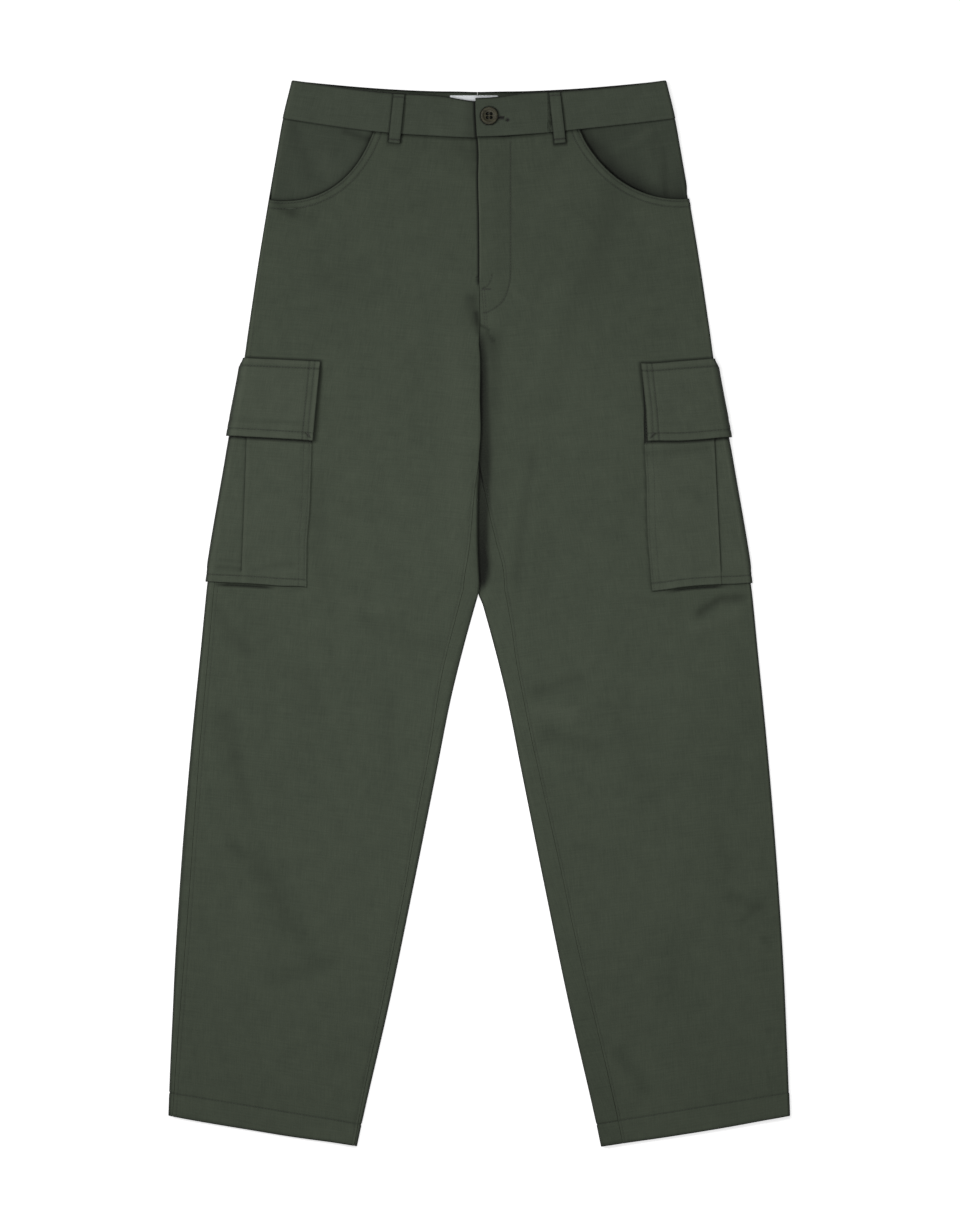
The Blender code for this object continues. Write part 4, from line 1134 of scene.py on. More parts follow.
def front_panel(side):
    """Columns run from the outseam or the pocket's mouth to the inseam or the fly."""
    mouth_heights, mouth_ways = pocket_mouth(side, 0, MOUTH_DENSE)
    low = mouth_heights[-1]
    below = np.concatenate([
        low - np.array(ROWS_BELOW_MOUTH),
        rows((low - 16, FLY_ROWS[0]), FRONT_SPACING, ((), ())),
        rows(FLY_ROWS, FLY_SPACING, ((), ()))[1:],
        rows((FLY_ROWS[-1], CROTCH, HEM_STITCH + 3), FRONT_SPACING, ((), ()))[1:],
        HEM_STITCH - np.array(ROWS_BY_FRONT_STITCH),
        rows((HEM_STITCH - 3, HEM), FRONT_SPACING, ((), RIM)),
    ])
    heights = np.concatenate([mouth_heights, below])
    start = np.concatenate([mouth_ways, outseam(side, below) + SEAM_GAP / 2])
    end = half_girth(side, heights, True) - inseam(side, heights) - SEAM_GAP / 2
    past_fold = np.maximum(fold_radius(heights) * QUARTER_TURN, start + 2 * fold_radius(heights))
    stops = [end - stop for stop in FLY_COLUMNS[side]]
    ways = columns((start, past_fold, *stops, end), FRONT_SPACING, (STITCHED_RIM, STITCHED_RIM))
    up = heights[:, None]
    points, _ = skin(side, up, ways)
    out, level = side * points[..., 0], points[..., 1]
    first, last, top, bottom = borders(heights, ways)
    by_mouth = distance_to(mouth_heights, mouth_ways, up, ways)
    first = np.minimum(first, by_mouth)
    on_mouth = up > low - 14
    on_inseam = below_crotch(up)
    outside = fly_raise(side, up, outer_edge(heights)[:, None] - ways)
    outside += HEM_RELIEF * ease(HEM_STITCH + 0.6, HEM_STITCH - 0.6, up)
    joined = (first + FELLED * ~on_mouth * (side == RIGHT), last + FELLED * on_inseam)
    outside -= rounding(np.minimum.reduce((*joined, top, bottom)))
    outside += grooves(by_mouth, MOUTH_LINES) * on_mouth
    outside += graded(by_mouth, *MOUTH_HEM) * ease(10.5, 8.8, by_mouth) * on_mouth
    outside += grooves(np.abs(up - HEM_STITCH), (0,))
    outside += grooves(last, (SEAM_LINE,), FINE_GROOVE) * on_inseam
    outside += pucker(bottom, ways, HEM - HEM_STITCH) + pucker(last, up) * on_inseam
    stitched = lines_at(by_mouth, MOUTH_LINES) * on_mouth
    stitched += line_at(up - HEM_STITCH) + INSEAM_STITCHED * line_at(last - SEAM_LINE) * on_inseam
    tone = strokes(by_mouth, MOUTH_STROKES) * on_mouth
    if side == RIGHT:
        outside += grooves(first, (SEAM_LINE + 1,), FINE_GROOVE) * ~on_mouth + pucker(first, up) * ~on_mouth
        stitched += OUTSEAM_STITCHED * line_at(first - SEAM_LINE - 1) * ~on_mouth
        beside_fly = graded(out - CENTRE_DRIFT, *BESIDE_FLY)
        tone -= beside_fly * ease(FLY_SHADE_END - 4, FLY_SHADE_END + 4, up)
    else:
        by_lines = [polyline_distance(path, out, level) for path in (fly_stitches(), fly_arc())]
        sewn = np.minimum(*by_lines)
        outside = outside - GROOVE_DEPTH * line_at(sewn, 1.0) + pucker(sewn, up + ways) * ease(8, 0, sewn)
        stitched += line_at(sewn)
        on_fly = ease(FLY_SHADE_END, FLY_SHADE_END + 10, up)
        tone += (strokes(last, FLY_STROKES) - graded(out, *FLY_DARKER)) * on_fly
    raised, creased = relief(side, heights, ways)
    outside += raised
    seam = line_at(last, BORDER_WIDTH) * on_inseam
    if side == RIGHT:
        seam += line_at(first, BORDER_WIDTH) * ~on_mouth
    tone = tone - STITCH_SHADE * stitched + CREASE_SHADE * creased + SEAM_PALER * seam
    tone += folds(PAINTED_SHADOWS, side, out, level) + graded(HEM_STITCH - up, *HEM_PALER)
    tone += graded(-up, LEG_PALER[side], 150, 420)
    tone = tone - shade_outside(side, heights, points) - EDGE_SHADE * line_at(bottom, EDGE_LINE)
    tone += WAIST_PALER * line_at(top, BORDER_WIDTH) * (first > 3)
    cloth = Cloth(side, heights, ways, outside, tone)
    cloth.tone = np.clip(cloth.tone - shadow_between(side, heights, cloth.base), -1, 1)
    return cloth


def back_panel(side):
    """Columns run from the outseam round the outer fold, under the leg and over to the inseam."""
    by_stitch = HEM_STITCH - np.array(ROWS_BY_STITCH)
    heights = rows((WAIST_SEAM - SEAM_GAP / 2, CROTCH, *by_stitch, HEM), BACK_SPACING)
    quarter = fold_radius(heights) * QUARTER_TURN
    girth = half_girth(side, heights, False)
    start = outseam(side, heights) - SEAM_GAP / 2
    fold = quarter - girth
    turn = quarter + inseam(side, heights) - SEAM_GAP / 2
    ordered = [start]
    for edge in (-quarter, *under_stops(side, heights), fold, fold - 2 * quarter * ROLLED_SHARE, fold - turn):
        ordered.append(np.minimum(edge, ordered[-1] - 0.4))
    ordered[-1] = fold - turn
    ordered[-2] = np.maximum(ordered[-2], ordered[-1] + 0.4)
    ways = columns(ordered, BACK_SPACING, (RIM, RIM))
    first, last, top, bottom = borders(heights, ways)
    up = heights[:, None]
    joined = (first + FELLED * (side == RIGHT), last + FELLED * below_crotch(up))
    outside = -rounding(np.minimum.reduce((*joined, top, bottom)))
    outside += underside_relief(side, heights, ways) + grooves(np.abs(up - HEM_STITCH), (0,), UNDER_GROOVE)
    seam = line_at(last, BORDER_WIDTH) * below_crotch(up)
    if side == RIGHT:
        seam += line_at(first, BORDER_WIDTH)
    tone = SEAM_PALER * seam - STITCH_SHADE * line_at(up - HEM_STITCH)
    tone -= EDGE_SHADE * line_at(bottom, EDGE_LINE)
    cloth = Cloth(side, heights, ways, outside, tone)
    cloth.tone = np.clip(cloth.tone - shadow_between(side, heights, cloth.base), -1, 1)
    return cloth


def hip_facing(side):
    """The cloth inside the front pocket, which runs on a little way under the front panel."""
    heights, end = pocket_mouth(side, FACING_UNDERLAP, FACING_STEPS)
    under_band = WAIST_SEAM + np.array(ROWS_UNDER_BAND)
    above = np.linspace(WAIST_SEAM - SEAM_GAP / 2, heights[0] + 0.8, 5)
    heights = np.concatenate([under_band, above, heights])
    end = np.concatenate([np.repeat(end[:1], len(heights) - len(end)), end])
    start = outseam(side, heights) + SEAM_GAP / 2
    halfway = start + FACING_FOLD_SHARE * (end - start)
    fold = np.minimum(fold_radius(heights) * QUARTER_TURN, halfway)
    ways = columns((start, fold, end), SMALL_SPACING, (RIM, ()))
    mouth_bottom = POCKET_MOUTH[side][3][1]
    open_here = ease(mouth_bottom, mouth_bottom + FACING_OPENS, heights)[:, None]
    near_seam = 1 - ease(*FACING_SINK, ways)
    outside = FACING_OUTSIDE * (1 - near_seam * open_here)
    mouth_heights, mouth_ways = pocket_mouth(side, 0, FACING_STEPS)
    by_mouth = distance_to(mouth_heights, mouth_ways, heights[:, None], ways)
    gape = MOUTH_GAPE[side] * line_at(by_mouth, MOUTH_GAPE_REACH) * open_here
    edge = np.minimum.reduce(borders(heights, ways))
    inner = ease(0, 9, edge)
    outside = outside - rounding(np.abs(ways - ways[:, :1])) - gape * inner
    raised, creased = relief(side, heights, ways, FACING_CREASES)
    outside += raised * inner * FACING_CREASED
    tucked = ease(WAIST_SEAM - 0.2, WAIST_SEAM + 0.5, heights)[:, None]
    outside = outside * (1 - tucked) + FACING_TUCKED * tucked
    # Painted shade in the pocket's mouth, deepest at its edge, and over the whole facing.
    tone = -MOUTH_SHADE[side] * np.exp(-by_mouth / MOUTH_SHADE_RUN[side])
    tone += strokes(heights[:, None] - WAIST_SEAM, FACING_TOP_STROKES) + CREASE_SHADE * creased
    tone -= FACING_SHADE[side]
    return Cloth(side, heights, ways, outside, tone)


def waistband(side):
    """Columns run from the centre front round to the centre back."""
    heights = rows((WAIST_TOP, WAIST_SEAM + SEAM_GAP / 2), SMALL_SPACING)
    radius = fold_radius(heights)
    quarter = radius * QUARTER_TURN
    past_lap = way_to(heights, 2 * BAND_UNDERLAP + LAP_SLOPE)
    front_end = half_girth(side, heights, True)
    fold = quarter - half_girth(side, heights, False)
    back_end = fold - quarter + SEAM_GAP / 2
    loop = way_to(heights, sum(FRONT_LOOPS[side]) / 2)
    if side == LEFT:
        fine = [way_to(heights, out) for out in (BAND_LAP + 6, 29, 31)]
    else:
        fine = [way_to(heights, out) for out in (0, BAND_LAP, BAND_LAP + 6)]
    edges = (front_end, *fine, past_lap, loop + 10, loop - 10, quarter, -quarter)
    edges = (*edges, *under_stops(side, heights), fold, back_end)
    ways = columns(edges, BAND_SPACING)
    out = outer_edge(heights)[:, None] - ways + quarter[:, None] - radius[:, None]
    first, _, top, bottom = borders(heights, ways)
    outside = BAND_OUTSIDE + np.where(ways > 0, fly_raise(side, heights[:, None], out), 0)
    outside = outside - rounding(top, BAND_EDGE) - rounding(np.minimum(first, bottom))
    outside += pucker(bottom, ways) * ease(0, 10, ways)
    outside += relief(side, heights, ways, ())[0] * 0.5
    behind = ways < 0
    tone = WAIST_PALER * line_at(bottom, BORDER_WIDTH) - EDGE_SHADE * line_at(top, EDGE_LINE)
    tone += strokes(top, BAND_BACK_STROKES) * behind
    points, _ = skin(side, heights[:, None], ways)
    across = side * points[..., 0]
    points = settle(side, heights, ways, points)
    settled, level = side * points[..., 0], points[..., 1]
    on_front = ease(0, 5, ways)
    if side == RIGHT:
        tone -= (graded(across - BAND_LAP, *BESIDE_LAP) + graded(across, *NEAR_LAP)) * on_front
    else:
        from_button = np.hypot(settled - BUTTON_AT[0], level - BUTTON_AT[1])
        slit = strokes(level - BUTTONHOLE[1], SLIT_STROKES) * ease(BUTTON_AT[0], BUTTON_AT[0] + 1, settled)
        slit = slit * ease(BUTTONHOLE[0] + 0.8, BUTTONHOLE[0], settled)
        from_knot = np.hypot((settled - BUTTONHOLE_KNOT[0]) / KNOT_STRETCH, level - BUTTONHOLE_KNOT[1])
        knot = strokes(from_knot, KNOT_STROKES)
        ring = graded(from_button - BUTTON_RADIUS, *BESIDE_BUTTON)
        tone -= (ring + slit + knot) * on_front
    by_loop = np.abs(across - loop_line(side, heights[:, None])) - LOOP_WIDTH / 2
    tone -= graded(by_loop, *BESIDE_LOOP) * on_front
    return Cloth(side, heights, ways, outside, tone)


def profile(ways, stops, values):
    """Values at the ways, on a smooth curve through values at the stops of each row."""
    made = np.empty(ways.shape)
    for number, row in enumerate(ways):
        table = [(stop[number], value) for stop, value in zip(stops, values)]
        made[number] = along(table, row)
    return made


def pocket_ways(side, heights, *columns_of_lines):
    """Ways to the pocket's lines with these columns in its table, and to its back edge."""
    lines = [way_to(heights, along(POCKET_LINES[side], heights, column)) for column in columns_of_lines]
    return *lines, -way_to(heights, pocket_back_edge(side, heights))


def cargo_pocket(side):
    """Columns run from the front edge over the pleat and round the outer fold to the back edge."""
    heights = rows((POCKET_TOP, POCKET_BOTTOM), SMALL_SPACING, (RIM, STITCHED_RIM))
    quarter = fold_radius(heights) * QUARTER_TURN
    front_edge, pleat, back_edge = pocket_ways(side, heights, 1, 3)
    edges = (front_edge, *[pleat + offset for offset in PLEAT_COLUMNS], quarter, -quarter, back_edge)
    ways = columns(edges, SMALL_SPACING, (STITCHED_RIM, RIM))
    first, last, top, bottom = borders(heights, ways)
    up = heights[:, None]
    beyond = ways - pleat[:, None]
    middle = (front_edge + pleat) / 2
    on_front = profile(ways, (pleat - 1, pleat, middle, front_edge - 9, front_edge), POCKET_FRONT_PUFF)
    on_side = profile(ways, (back_edge, -quarter, 0 * quarter, quarter, pleat), POCKET_SIDE_PUFF)
    sewn_down = 1 - PUFF_FADE * ease(PUFF_FADE_START, POCKET_BOTTOM, up)
    at_pleat = rounding(np.clip(beyond, 0, None), PLEAT_RADIUS)
    puff = np.where(beyond > 0, on_front - at_pleat, on_side)
    pressed = ease(POCKET_BOTTOM + 12, POCKET_BOTTOM + 17, up)
    puff = np.where(beyond > 0, puff, puff * (PRESSED_SHARE + (1 - PRESSED_SHARE) * pressed))
    out = side * skin(side, up, ways)[0][..., 0]
    gap_from, gap_to = POCKET_GAPES[side]
    gape = graded(bottom, *GAPE) * ease(gap_from, gap_from + 12, out) * ease(gap_to, gap_to - 14, out)
    outside = POCKET_LIFT + puff * sewn_down + gape * ease(-quarter[:, None], quarter[:, None], ways)
    outside -= rounding(np.minimum.reduce((first, last, top, bottom)))
    outside += grooves(first, POCKET_LINES_IN, FAINT_GROOVE) + grooves(bottom, (POCKET_BOTTOM_LINE,))
    outside += grooves(last, POCKET_LINES_IN) + pucker(first, up, 5) + pucker(bottom, ways, 4)
    creased = folds(POCKET_CREASES, side, out, up + slant(up)) * ease(0, 6, bottom)
    outside += relief(side, heights, ways, ())[0] + creased
    stitched = INSEAM_STITCHED * lines_at(first, POCKET_LINES_IN) + lines_at(last, POCKET_LINES_IN)
    stitched += line_at(bottom - POCKET_BOTTOM_LINE)
    open_pleat = PLEAT_SEWN_SHADE + (1 - PLEAT_SEWN_SHADE) * ease(POCKET_BOTTOM + 11, POCKET_BOTTOM + 15, up)
    pleat_shade = PLEAT_SHADE * open_pleat * np.exp(-np.clip(-beyond, 0, None) / PLEAT_SHADE_RUN)
    tone = -STITCH_SHADE * stitched - pleat_shade * (beyond <= 0)
    tone += strokes(beyond, PLEAT_STROKES) * (beyond > 0)
    tone -= graded(FLAP_BOTTOM - up, *UNDER_FLAP) * ease(-quarter[:, None], 0, ways)
    tone += CREASE_SHADE * creased + POCKET_EDGE_PALER[side] * line_at(first, BORDER_WIDTH)
    tone += POCKET_PALER[side] + strokes(bottom, POCKET_BOTTOM_STROKES)
    return Cloth(side, heights, ways, outside, tone)


def cargo_flap(side):
    """Columns run from the front edge round the outer fold to the back edge."""
    heights = rows((FLAP_TOP, FLAP_SHOULDER, FLAP_BOTTOM), SMALL_SPACING, (FLAP_TOP_RIM, STITCHED_RIM))
    quarter = fold_radius(heights) * QUARTER_TURN
    front_edge, back_edge = pocket_ways(side, heights, 2)
    ways = columns((front_edge, quarter, -quarter, back_edge), SMALL_SPACING, (STITCHED_RIM, STITCHED_RIM))
    first, last, top, bottom = borders(heights, ways)
    up = heights[:, None]
    middle = (front_edge + quarter) / 2
    stops = (back_edge, -quarter, 0 * quarter, quarter, middle, front_edge - 12, front_edge)
    puff, loose = profile(ways, stops, FLAP_PUFF), profile(ways, stops, FLAP_LOOSE)
    flare = FLAP_FLARE * loose * ease(FLAP_SHOULDER, FLAP_BOTTOM, up)
    sewn = POCKET_GAP + FLAP_WALL
    on_pocket = POCKET_LIFT + FLAP_LIFT + puff + flare
    outside = sewn + (on_pocket - sewn) * ease(FLAP_TOP - 1, FLAP_SHOULDER - 2, up)
    outside -= rounding(np.minimum.reduce((first, last, top, bottom)))
    outside += grooves(first, FLAP_LINES) + grooves(last, FLAP_LINES)
    outside += grooves(bottom, (FLAP_BOTTOM_LINE,)) + grooves(top, (FLAP_TOP_LINE,))
    outside += pucker(first, up, 5) + pucker(bottom, ways, 4)
    crease = strokes(bottom, FLAP_CREASE) * ease(3, 20, first)
    outside = outside - FLAP_CREASE_DEPTH * crease + relief(side, heights, ways, ())[0]
    stitched = lines_at(first, FLAP_LINES) + lines_at(last, FLAP_LINES)
    stitched += line_at(bottom - FLAP_BOTTOM_LINE) + FLAP_TOP_STITCHED * line_at(top - FLAP_TOP_LINE)
    tone = strokes(first, FLAP_FRONT_STROKES) + strokes(top, FLAP_TOP_STROKES)
    tone += strokes(bottom, FLAP_BOTTOM_STROKES) + FLAP_PALER[side]
    shade_up, shade_in = np.array(FLAP_BARTACK_SHADE).T
    from_bartack = distance_to(-shade_up, shade_in, -bottom, first)
    tone += strokes(from_bartack, BARTACK_STROKES) - FLAP_CREASE_SHADE[side] * crease
    return Cloth(side, heights, ways, outside, tone - STITCH_SHADE * stitched)


def belt_loop(side, out_top, out_bottom, face):
    """A strip across the waistband. face is 1 on the front and -1 on the back, where it lies flat."""
    heights = rows((LOOP_TOP, LOOP_BOTTOM), 1.2)
    part = (heights - LOOP_BOTTOM) / (LOOP_TOP - LOOP_BOTTOM)
    out = out_bottom + (out_top - out_bottom) * part
    edges = way_to(heights, out - LOOP_WIDTH / 2), way_to(heights, out + LOOP_WIDTH / 2)
    ways = columns([edge * face for edge in edges], 1.2)
    rise = fly_raise(side, heights.max(), out_top) if face > 0 else 0
    arch = LOOP_ARCH * np.sin(math.pi * part)[:, None] if face > 0 else 0
    first, last, top, bottom = borders(heights, ways)
    edge = np.minimum(first, last)
    outside = BAND_OUTSIDE + LOOP_GAP + LOOP_WALL + arch + rise
    outside = outside - rounding(np.minimum.reduce((edge, top, bottom)), LOOP_EDGE_RADIUS)
    pressed = graded(edge, *LOOP_RIDGE) + graded(edge, *LOOP_HOLLOW)
    outside += (pressed + graded(bottom, *LOOP_END) * ease(0, 1.2, bottom)) * (face > 0)
    tone = strokes(edge, LOOP_SIDE_STROKES) + strokes(bottom, LOOP_BOTTOM_STROKES)
    tone += strokes(top, LOOP_TOP_STROKES)
    return Cloth(side, heights, ways, outside, tone)


# Stitches.
STITCH = 2.5
STITCH_GAP = 0.7
THREAD_RADIUS = 0.27
FINE_THREAD = 0.15
BARTACK_PITCH = 0.42
BARTACK_LIFT = 1.6

# Sections of a thread: how far along it, how far off the cloth, share of its radius
SECTIONS = ((0, -0.16, 0.5), (0.25, 0.12, 1.0), (0.75, 0.12, 1.0), (1, -0.16, 0.5))


class Sewing:
    """Threads that are joined into one mesh."""

    def __init__(self, name):
        self.name, self.points = name, []

    def threads(self, starts, ends, start_normals, end_normals, radius=THREAD_RADIUS, lift=1.0):
        """Short threads that dip into the cloth at both ends."""
        tangent = ends - starts
        tangent = tangent / np.maximum(np.linalg.norm(tangent, axis=1, keepdims=True), 1e-6)
        part, rise, share = np.array(SECTIONS).T.reshape(3, 1, -1, 1)
        normal = start_normals[:, None] * (1 - part) + end_normals[:, None] * part
        aside = np.cross(tangent[:, None], normal)
        centre = starts[:, None] * (1 - part) + ends[:, None] * part + normal * rise * lift
        corners = ((1, 0), (0, 1), (-1, 0), (0, -1))
        rings = [centre + (aside * a + normal * b) * radius * share for a, b in corners]
        self.points.append(np.stack(rings, axis=2).reshape(-1, 3))

    def line(self, cloth, heights, ways, radius=THREAD_RADIUS):
        """Stitches along a path on a piece of cloth."""
        heights, ways = np.broadcast_arrays(heights, ways)
        points, normals = cloth.at(heights, ways)
        steps = np.linalg.norm(np.diff(points, axis=0), axis=1)
        distance = np.concatenate([(0,), np.cumsum(steps)])
        count = max(1, int(distance[-1] / (STITCH + STITCH_GAP)))
        begins = (np.arange(count) + 0.5) * distance[-1] / count - STITCH / 2
        found = []
        for values in (points, normals):
            for place_on in (begins, begins + STITCH):
                found.append(np.stack([np.interp(place_on, distance, axis) for axis in values.T], axis=1))
        self.threads(*found, radius)

    def bartack(self, cloth, start, end, width=1.5):
        """Close stitches across a short line, between two points named by height and way."""
        start, end = np.array(start, float), np.array(end, float)
        length = np.linalg.norm(end - start)
        count = max(3, int(length / BARTACK_PITCH))
        across = np.array((-(end - start)[1], (end - start)[0])) / length * width / 2
        middles = start + (end - start) * np.linspace(0, 1, count)[:, None]
        points_1, normals_1 = cloth.at(*(middles - across).T)
        points_2, normals_2 = cloth.at(*(middles + across).T)
        self.threads(points_1, points_2, normals_1, normals_2, lift=BARTACK_LIFT)

    def make(self, finish="thread"):
        points = np.concatenate(self.points)
        corners = len(SECTIONS) * 4
        rings = np.arange(corners).reshape(-1, 4)
        sides = [bridge(low, high) for low, high in zip(rings, rings[1:])]
        one = np.concatenate([*sides, rings[:1, ::-1], rings[-1:]])
        faces = (np.arange(0, len(points), corners)[:, None, None] + one).reshape(-1, 4)
        obj = make_object(self.name, points, faces, finish)
        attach(obj, "root")
        return obj


def place(side, out, up):
    """The height and way of points of the front that are given in plan."""
    out, up = np.asarray(out, float), np.asarray(up, float)
    height = up.copy()
    for _ in range(4):
        height = height + up - skin(side, height, way_to(height, out))[0][..., 1]
    return height, way_to(height, out)


def beside(heights, ways, shift):
    """A line beside a path that runs down and out, this far in from it."""
    heading = np.gradient(np.stack((ways, heights), axis=1), axis=0)
    heading /= np.linalg.norm(heading, axis=1, keepdims=True)
    return heights + heading[:, 0] * shift, ways - heading[:, 1] * shift


def sew_back(side, cloth):
    sewing = Sewing(f"stitches_back_{SIDE_NAMES[side]}")
    hem_ways = np.linspace(cloth.ways[-1, 0] - 1, cloth.ways[-1, -1] + 1, 120)
    sewing.line(cloth, HEM_STITCH, hem_ways)
    return sewing


def sew_front(side, cloth):
    sewing = Sewing(f"stitches_front_{SIDE_NAMES[side]}")
    mouth = pocket_mouth(side, 0, MOUTH_DENSE)
    for shift in MOUTH_LINES:
        heights, ways = beside(*mouth, shift)
        keep = (heights < WAIST_SEAM - 1.2) & (ways > outseam(side, heights) + 1)
        sewing.line(cloth, heights[keep], ways[keep])
    sewing.line(cloth, HEM_STITCH, np.linspace(cloth.ways[-1, 0] + 1, cloth.ways[-1, -1] - 1, 90))
    leg = np.linspace(CROTCH - 25, HEM + 2, 400)
    end = half_girth(side, leg, True) - inseam(side, leg)
    sewing.line(cloth, leg, end - SEAM_LINE, FINE_THREAD)
    if side == RIGHT:
        leg = np.linspace(mouth[0][-1] - 12, HEM + 2, 500)
        sewing.line(cloth, leg, outseam(side, leg) + SEAM_LINE + 1, FINE_THREAD)
    else:
        tails = [np.linspace(*FLY_TAIL, 20) + (shift, 0) for shift in (0.0, 2.6)]
        for path in (fly_stitches(), fly_arc(), *tails):
            sewing.line(cloth, *place(side, *path.T))
        ends = np.transpose(place(side, *np.array(FLY_BARTACK).T))
        sewing.bartack(cloth, *ends)
    return sewing


def sew_pocket(side, cloth):
    sewing = Sewing(f"stitches_cargo_pocket_{SIDE_NAMES[side]}")
    heights = np.linspace(POCKET_TOP - 1, POCKET_BOTTOM + 1, 120)
    edge, back = pocket_ways(side, heights, 1)
    for line in POCKET_LINES_IN:
        sewing.line(cloth, heights, edge - line, FINE_THREAD)
        sewing.line(cloth, heights, back + line)
    bottom = POCKET_BOTTOM + POCKET_BOTTOM_LINE
    sewing.line(cloth, bottom, np.linspace(edge[-1] - 2, back[-1] + 2, 120))
    return sewing


def sew_flap(side, cloth):
    sewing = Sewing(f"stitches_cargo_flap_{SIDE_NAMES[side]}")
    heights = np.linspace(FLAP_TOP - 2, FLAP_BOTTOM + 1.5, 80)
    edge, back = pocket_ways(side, heights, 2)
    for line in FLAP_LINES:
        sewing.line(cloth, heights, edge - line)
        sewing.line(cloth, heights, back + line)
    for height in (FLAP_TOP - FLAP_TOP_LINE, FLAP_BOTTOM + FLAP_BOTTOM_LINE):
        across = np.linspace(np.interp(height, heights[::-1], edge[::-1]) - 2, back[0] + 2, 120)
        sewing.line(cloth, height, across)
    corner = np.array((FLAP_BOTTOM, edge[-1]))
    sewing.bartack(cloth, *[corner + (up, -inward) for up, inward in FLAP_BARTACK])
    return sewing


def sew_loop(name, cloth):
    """Bartacks across both ends of a belt loop."""
    sewing = Sewing(name)
    for height in (LOOP_BOTTOM + 3.2, LOOP_TOP - 3.0):
        row = np.argmin(np.abs(cloth.heights - height))
        first, last = cloth.ways[row, 0], cloth.ways[row, -1]
        inward = np.sign(last - first) * 1.2
        sewing.bartack(cloth, (height, first + inward), (height, last - inward), 1.1)
    return sewing


def plate(low, high, level, face, corner=0.0, spacing=1.5):
    """A flat piece of cloth, in plan from low to high, with its upper right corner cut off.

    face is 1 if its outer side is up."""
    heights = rows((high[1], low[1]), spacing)
    right = high[0] - np.clip(heights - high[1] + corner, 0, corner)
    ways = columns((np.full(len(heights), low[0]), right), spacing)
    cloth = Cloth(LEFT, heights, np.abs(ways), 0)
    cloth.ways = ways
    # Painted shade along its edges.
    cloth.tone = -0.3 * line_at(cloth.edge())
    up = np.broadcast_to(heights[:, None], ways.shape)
    cloth.base = np.stack((ways, up, np.full(ways.shape, float(level))), axis=-1)
    cloth.directions = np.broadcast_to((0.0, 0.0, float(face)), cloth.base.shape)
    cloth.outside = -rounding(np.minimum.reduce(borders(heights, ways)), 0.4)
    cloth.points = cloth.moved(0)
    return cloth


def revolve(profile, steps):
    """A closed mesh turned from a profile of (radius, height) that starts and ends on the axis."""
    turn = 2 * math.pi * np.arange(steps) / steps
    flat = np.stack((np.cos(turn), np.sin(turn), np.zeros(steps)), axis=1)
    rings = [flat * radius + (0, 0, height) for radius, height in profile[1:-1]]
    points = [(0, 0, profile[0][1]), *np.concatenate(rings), (0, 0, profile[-1][1])]
    faces, last = [], len(points) - 1
    for step in range(steps):
        ahead = (step + 1) % steps
        faces.append((0, 1 + ahead, 1 + step))
        for ring in range(len(rings) - 1):
            low, high = 1 + ring * steps, 1 + (ring + 1) * steps
            faces.append((low + step, low + ahead, high + ahead, high + step))
        high = 1 + (len(rings) - 1) * steps
        faces.append((high + step, high + ahead, last))
    return np.array(points, float), faces


def waist_button():
    """A four-hole button with a raised, rounded rim and a dished middle."""
    x, y = BUTTON_AT
    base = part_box("waist_button")[0][2] / MM
    rim = BUTTON_RADIUS - BUTTON_INSET
    inner = rim - BUTTON_RIM
    top = BUTTON_HEIGHT
    outward, inward = np.linspace(0, QUARTER_TURN, 7), np.linspace(0.1, 1.3, 6)
    crown_out, crown_up, lip_up = rim - BUTTON_CROWN, top - BUTTON_CROWN, top - BUTTON_LIP
    crown = [(crown_out + BUTTON_CROWN * math.cos(a), crown_up + BUTTON_CROWN * math.sin(a)) for a in outward]
    lip = [(inner + 0.5 - BUTTON_LIP * math.sin(a), lip_up + BUTTON_LIP * math.cos(a)) for a in inward]
    dish = [(inner - 1.2, top - 1.05), (inner - 2.4, top - 1.2), (1.2, top - 1.15), (0, top - 1.15)]
    points, faces = revolve([(0, 0), (rim - 1.6, 0), (rim - 0.6, 0.25), (rim, 0.9), *crown, *lip, *dish], 72)
    button = make_object("button", points + (x, y, base), faces, "button")
    half = BUTTON_HOLE_SPACING / 2
    cutters = []
    for right, up in ((half, half), (-half, half), (-half, -half), (half, -half)):
        points, faces = revolve([(0, -1), (BUTTON_HOLE, -1), (BUTTON_HOLE, 4), (0, 4)], 20)
        cutters.append(make_object("hole", points + (x + right, y + up, base), faces, "button"))
        cut = button.modifiers.new("hole", "BOOLEAN")
        cut.operation, cut.solver, cut.object = "DIFFERENCE", "EXACT", cutters[-1]
    made = bpy.data.meshes.new_from_object(button.evaluated_get(bpy.context.evaluated_depsgraph_get()))
    button.modifiers.clear()
    button.data = made
    for cutter in cutters:
        bpy.data.objects.remove(cutter)
    made.shade_smooth()
    made.set_sharp_from_angle(angle=math.radians(50))
    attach(button, "root")
    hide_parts("waist_button")


